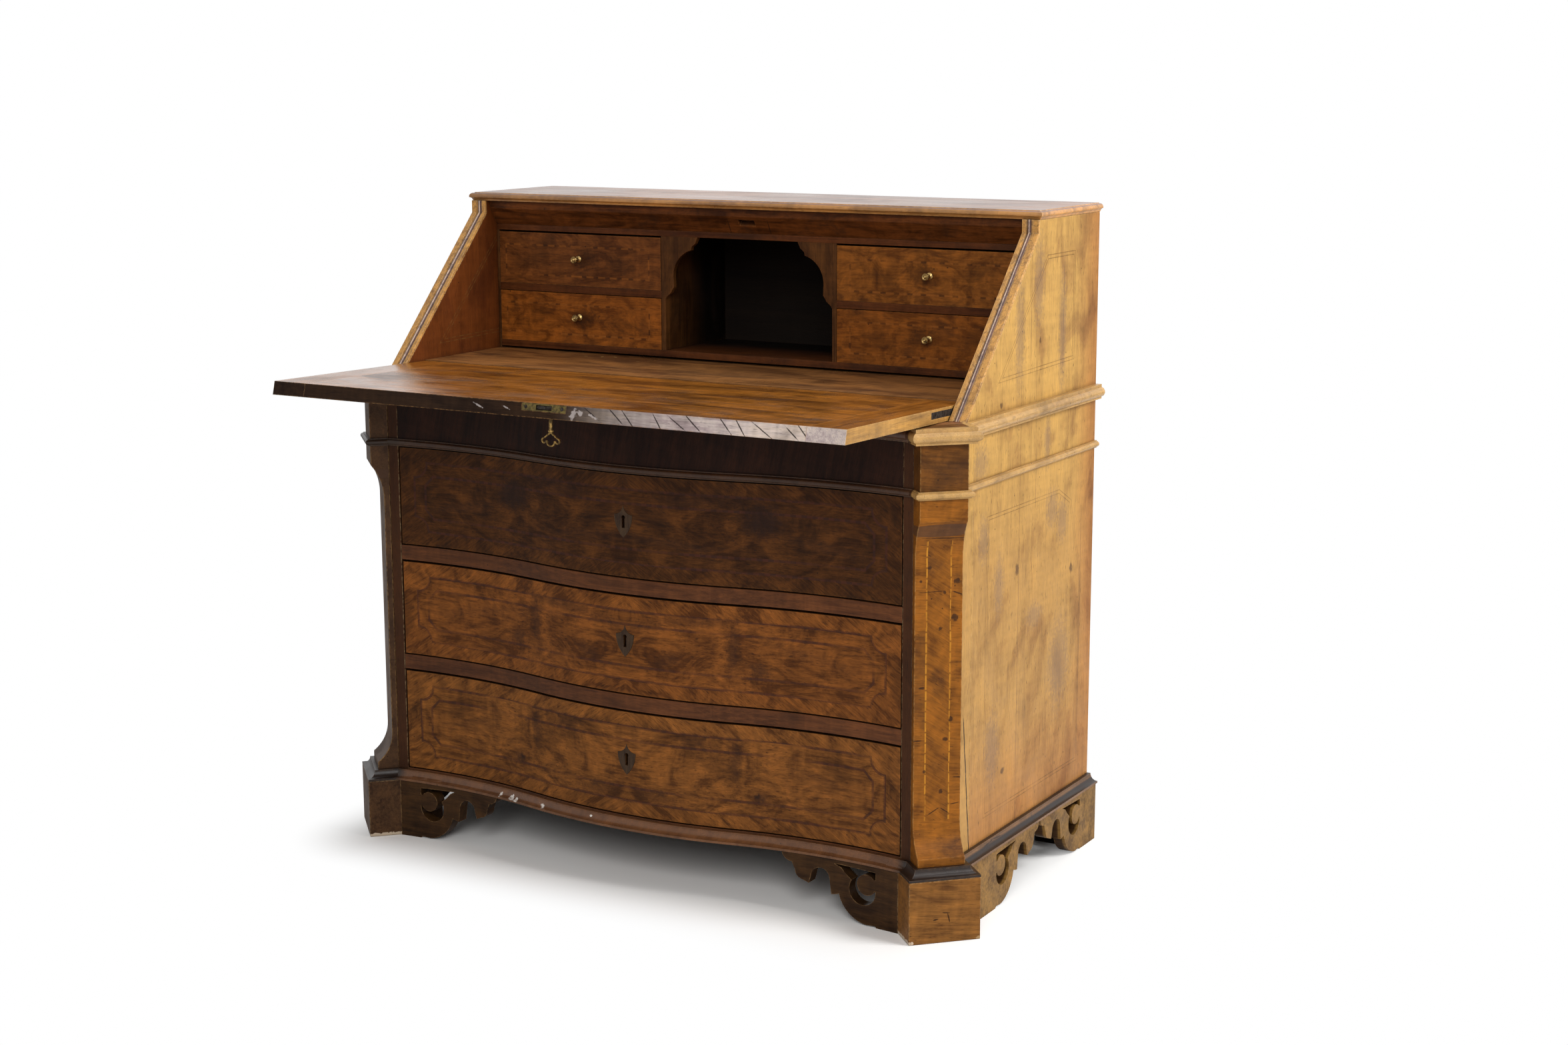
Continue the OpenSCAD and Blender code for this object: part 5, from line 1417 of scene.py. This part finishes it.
@dataclass
class SmallDrawers(Assembly):
    """Four small drawers with banded stringing and turned brass knobs."""

    # Middle height of each row's stringing, in mm from the floor
    rows: dict = field(default_factory=lambda: {"u": 945.5, "l": 845.1})
    # Half sizes of the stringing and its distance from the desk's middle, in metres
    half: tuple[float, float] = (0.148, 0.0255)
    middle_x: float = 0.341
    # Middle of the knobs in mm: distance from the desk's middle, and height in each row
    knob_x: float = 335.7
    knob_z: dict = field(default_factory=lambda: {"u": 949.87, "l": 849.82})
    # Place of the small drawers' faces, in mm from the case's back
    gallery_y: float = -205.70
    # Knob in steps as [distance from the drawer, radius] in mm, then the rings turned on its face
    profile: tuple = (
        (2.2, 4.2), (3.4, 2.7), (5.5, 2.2), (8.2, 2.4), (10.6, 3.5), (12.4, 5.2), (13.8, 5.95),
        (15.4, 5.95), (16.4, 5.4),
    )
    rings: tuple = ((16.0, 4.9), (17.0, 4.3), (16.6, 3.5), (17.6, 2.9), (17.2, 2.2), (18.4, 1.6), (19.0, 0.8))
    # Depth and radius of the first disc, and length and radius of the shank in the drawer's front
    flange: tuple[float, float] = (1.5, 5.7)
    shank: tuple[float, float] = (12.0, 2.0)
    # Smudges round a knob as [x, height over the knob, half width, half height, turn, strength]
    smudges: tuple = (
        (324, 1, 22, 15, 0, 0.55), (250, -8, 30, 12, 20, 0.35), (420, 6, 26, 16, -30, 0.35),
        (455, -12, 16, 10, 10, 0.3),
    )

    def turn_knob(self) -> bpy.types.Object:
        """Turns one knob at the upper right drawer's place, from its flange out to the rings.

        Returns:
            The knob.
        """
        depth, radius = self.flange
        face = at(self.knob_x, self.gallery_y, self.knob_z["u"])
        middle = (face[0], face[1] - depth / 2 * MM, face[2])
        clear_selection()
        bpy.ops.mesh.primitive_cylinder_add(
            vertices=48, radius=radius * MM, depth=depth * MM, location=middle, rotation=(math.pi / 2, 0, 0)
        )
        work = Workpiece("small_knob_ur_turned", bpy.context.active_object)
        work.settle()
        bpy.ops.object.mode_set(mode="EDIT")
        work.pick(lambda centre, normal: normal.y < -0.9)
        out, reach = depth, radius
        for step, wide in self.profile + self.rings:
            work.push((0.0, -(step - out) * MM, 0.0))
            size = (wide / reach, 1.0, wide / reach)
            bpy.ops.transform.resize(value=size, center_override=(face[0], face[1] - step * MM, face[2]))
            out, reach = step, wide
        length, thick = self.shank
        work.pick(lambda centre, normal: normal.y > 0.9 and centre.y > face[1] - 0.1 * MM)
        work.push((0.0, 0.0, 0.0))
        bpy.ops.transform.resize(value=(thick / radius, 1.0, thick / radius), center_override=face)
        work.push((0.0, length * MM, 0.0))
        bpy.ops.object.mode_set(mode="OBJECT")
        return work.finish(0.12, 1, 20.0)

    def front(self, name: str, tones: Tones, seed: float) -> Wood:
        """Chooses one front's finish.

        Args:
            name: Row and side of the drawer, as two letters.
            tones: Its colours.
            seed: Its part of the figure.

        Returns:
            The finish.
        """
        line = Stringing(
            (self.middle_x, self.rows[name[0]] * MM), self.half, light="#935826", dark="#2f1b10",
            width_mm=3.2, dash_mm=12, light_share=0.6, strength=0.55, faded=0.45, mirrored=True,
        )
        side = -1 if name[1] == "l" else 1
        marks = []
        for x, z, w, h, turn, share in self.smudges:
            place = at(side * x, self.gallery_y, self.knob_z[name[0]] + z)
            marks.append(Mark(place, (w, 20, h), "#22140c", share, 0.5, 1.2, turn))
        # Swirled veneer handled for centuries: amber, with a dark halo round the knob
        return Wood(
            f"figured_walnut_on_small_drawer_{name}", tones, patch_mm=(60, 30), patchy=1.9, streak_mm=(70, 5),
            streaky=0.4, swirl=1.6, rings=0.25, ring_count=16, seed=seed, lines=(line,), worn="#a06f3d",
            stained=0.45, stain_mm=45, marks=tuple(marks),
        )

    def build(self) -> None:
        """Makes the small drawers and their knobs."""
        colours = {"ul": "#6a3d1c", "ur": "#804c1d", "ll": "#854b1b", "lr": "#7b4619"}
        # Cast and turned brass: pale gold on the rings, brown in the grooves
        brass = Metal("turned_brass_knobs", "#b89a62", "#57462c", 0.4, 0.32).build()
        pattern = self.turn_knob()
        for number, (name, colour) in enumerate(colours.items()):
            veneer = self.front(name, Tones(colour, 1.4, 0.55), 30 + 2.3 * number)
            self.soften(veneer, f"small_drawer_{name}", edge_mm=0.9)
        for name in colours:
            side = -1 if name[1] == "l" else 1
            lower = (self.knob_z[name[0]] - self.knob_z["u"]) * MM
            knob = pattern
            if name != "ur":
                knob = pattern.copy()
                knob.data = pattern.data.copy()
                knob.name = f"small_knob_{name}_turned"
                knob.data.transform(Matrix.Translation(((side - 1) * self.knob_x * MM, 0.0, lower)))
                bpy.context.scene.collection.objects.link(knob)
            node = f"small_knob_{name}"
            dress(knob, brass, frame["nodes"][node]["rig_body"], slot_of(node), node)
            log.info("%s: %d faces", knob.name, len(knob.data.polygons))


@dataclass(frozen=True)
class Lamp:
    """Soft square lamp, its place, target and side in metres."""

    name: str
    place: Point
    target: Point
    size: float
    watts: float

    def hang(self) -> None:
        """Hangs the lamp, turned to its target."""
        data = bpy.data.lights.new(self.name, "AREA")
        data.energy = self.watts
        data.size = self.size
        thing = bpy.data.objects.new(self.name, data)
        thing.location = self.place
        thing.rotation_euler = (Vector(self.target) - Vector(self.place)).to_track_quat("-Z", "Y").to_euler()
        bpy.context.scene.collection.objects.link(thing)


@dataclass
class Studio:
    """Pale floor, soft lamps, white surround and the camera."""

    camera_place: Point = (2.0283, -3.1975, 1.2900)
    camera_turn: Point = (79.0, 0.1, 30.0)
    lens_mm: float = 55.02
    sensor_mm: float = 36.0
    lamps: tuple[Lamp, ...] = (
        Lamp("key", (3.5, 0.4, 2.7), (0.2, 0.1, 0.5), 1.8, 122.0),
        Lamp("fill", (2.2, -4.0, 2.8), (0.0, 0.0, 0.5), 2.2, 108.0),
        Lamp("top", (0.3, 0.9, 3.3), (0.0, 0.1, 0.5), 1.8, 24.0),
    )
    # Strength of the surround as light
    surround: float = 0.26
    floor_size: float = 60.0
    # Middle, half width and half depth of the floor that keeps its shadow
    cover: tuple[float, float, float] = (0.11, 0.48, 0.28)
    # Distances from that rectangle between which the floor fades to the white surround
    fade: tuple[float, float] = (0.0, 0.18)

    def build(self) -> None:
        """Sets up the studio."""
        self.floor()
        self.world()
        for lamp in self.lamps:
            lamp.hang()
        camera = bpy.data.cameras.new("camera")
        camera.lens = self.lens_mm
        camera.sensor_width = self.sensor_mm
        thing = bpy.data.objects.new("camera", camera)
        thing.location = self.camera_place
        thing.rotation_euler = [math.radians(a) for a in self.camera_turn]
        bpy.context.scene.collection.objects.link(thing)
        bpy.context.scene.camera = thing
        bpy.context.scene.view_settings.view_transform = "Standard"

    def floor(self) -> None:
        """Lays the pale floor, which fades to the white of the surround away from the desk."""
        clear_selection()
        bpy.ops.mesh.primitive_plane_add(size=self.floor_size, location=(0.0, 0.0, 0.0))
        thing = bpy.context.active_object
        thing.name = "floor"
        # Matt white paint; the camera sees it a little brighter, so that only the shadow tells it from white
        graph = Graph(bpy.data.materials.new("painted_studio_floor"))
        ray = graph.add("LightPath", output="Is Camera Ray")
        matt = graph.add("BsdfDiffuse", {"Color": linear("#f4f3f1")})
        extra = graph.add("BsdfDiffuse", {"Color": linear("#7c7b79")})
        bright = graph.add("AddShader", {0: matt, 1: extra})
        glow = graph.add("Emission", {"Color": linear("#ffffff"), "Strength": 1.0})
        place = graph.add("TexCoord", output="Object")
        middle, half_width, half_depth = self.cover
        away = graph.add("VectorMath", {0: place, 1: (0.0, middle, 0.0)}, operation="SUBTRACT")
        away = graph.add("VectorMath", {0: away}, operation="ABSOLUTE")
        away = graph.add("VectorMath", {0: away, 1: (half_width, half_depth, 0.0)}, operation="SUBTRACT")
        away = graph.add("VectorMath", {0: away, 1: (0.0, 0.0, 0.0)}, operation="MAXIMUM")
        away = graph.add("VectorMath", {0: away}, "Value", operation="LENGTH")
        near, far = self.fade
        faded = graph.add(
            "MapRange", {"Value": away, "From Min": near, "From Max": far}, interpolation_type="SMOOTHSTEP"
        )
        shown = graph.add("MixShader", {0: faded, 1: bright, 2: glow})
        shader = graph.add("MixShader", {0: ray, 1: matt, 2: shown})
        graph.add("OutputMaterial", {"Surface": shader})
        thing.data.materials.append(graph.owner)

    def world(self) -> None:
        """Makes the surround: white to the camera and in reflections, dimmer as light."""
        graph = Graph(bpy.data.worlds.new("surround"))
        seen = graph.add("LightPath", output="Is Camera Ray")
        for ray in ("Is Glossy Ray", "Is Transmission Ray"):
            seen = graph.add("Math", {0: seen, 1: graph.add("LightPath", output=ray)}, operation="MAXIMUM")
        strength = graph.add("MapRange", {"Value": seen, "To Min": self.surround, "To Max": 1.0})
        light = graph.add("Background", {"Color": linear("#ffffff"), "Strength": strength})
        graph.add("OutputWorld", {"Surface": light})
        bpy.context.scene.world = graph.owner


def main() -> None:
    """Builds the desk and the studio in order."""
    logging.basicConfig(level=logging.INFO, format="%(name)s: %(message)s")
    for part in (Carcase(), Corners(), Mouldings(), Top(), Gallery(), Fall(), LongDrawers(), SmallDrawers()):
        log.info("building %s", type(part).__name__)
        part.build()
    Studio().build()


if __name__ == "__main__":
    main()
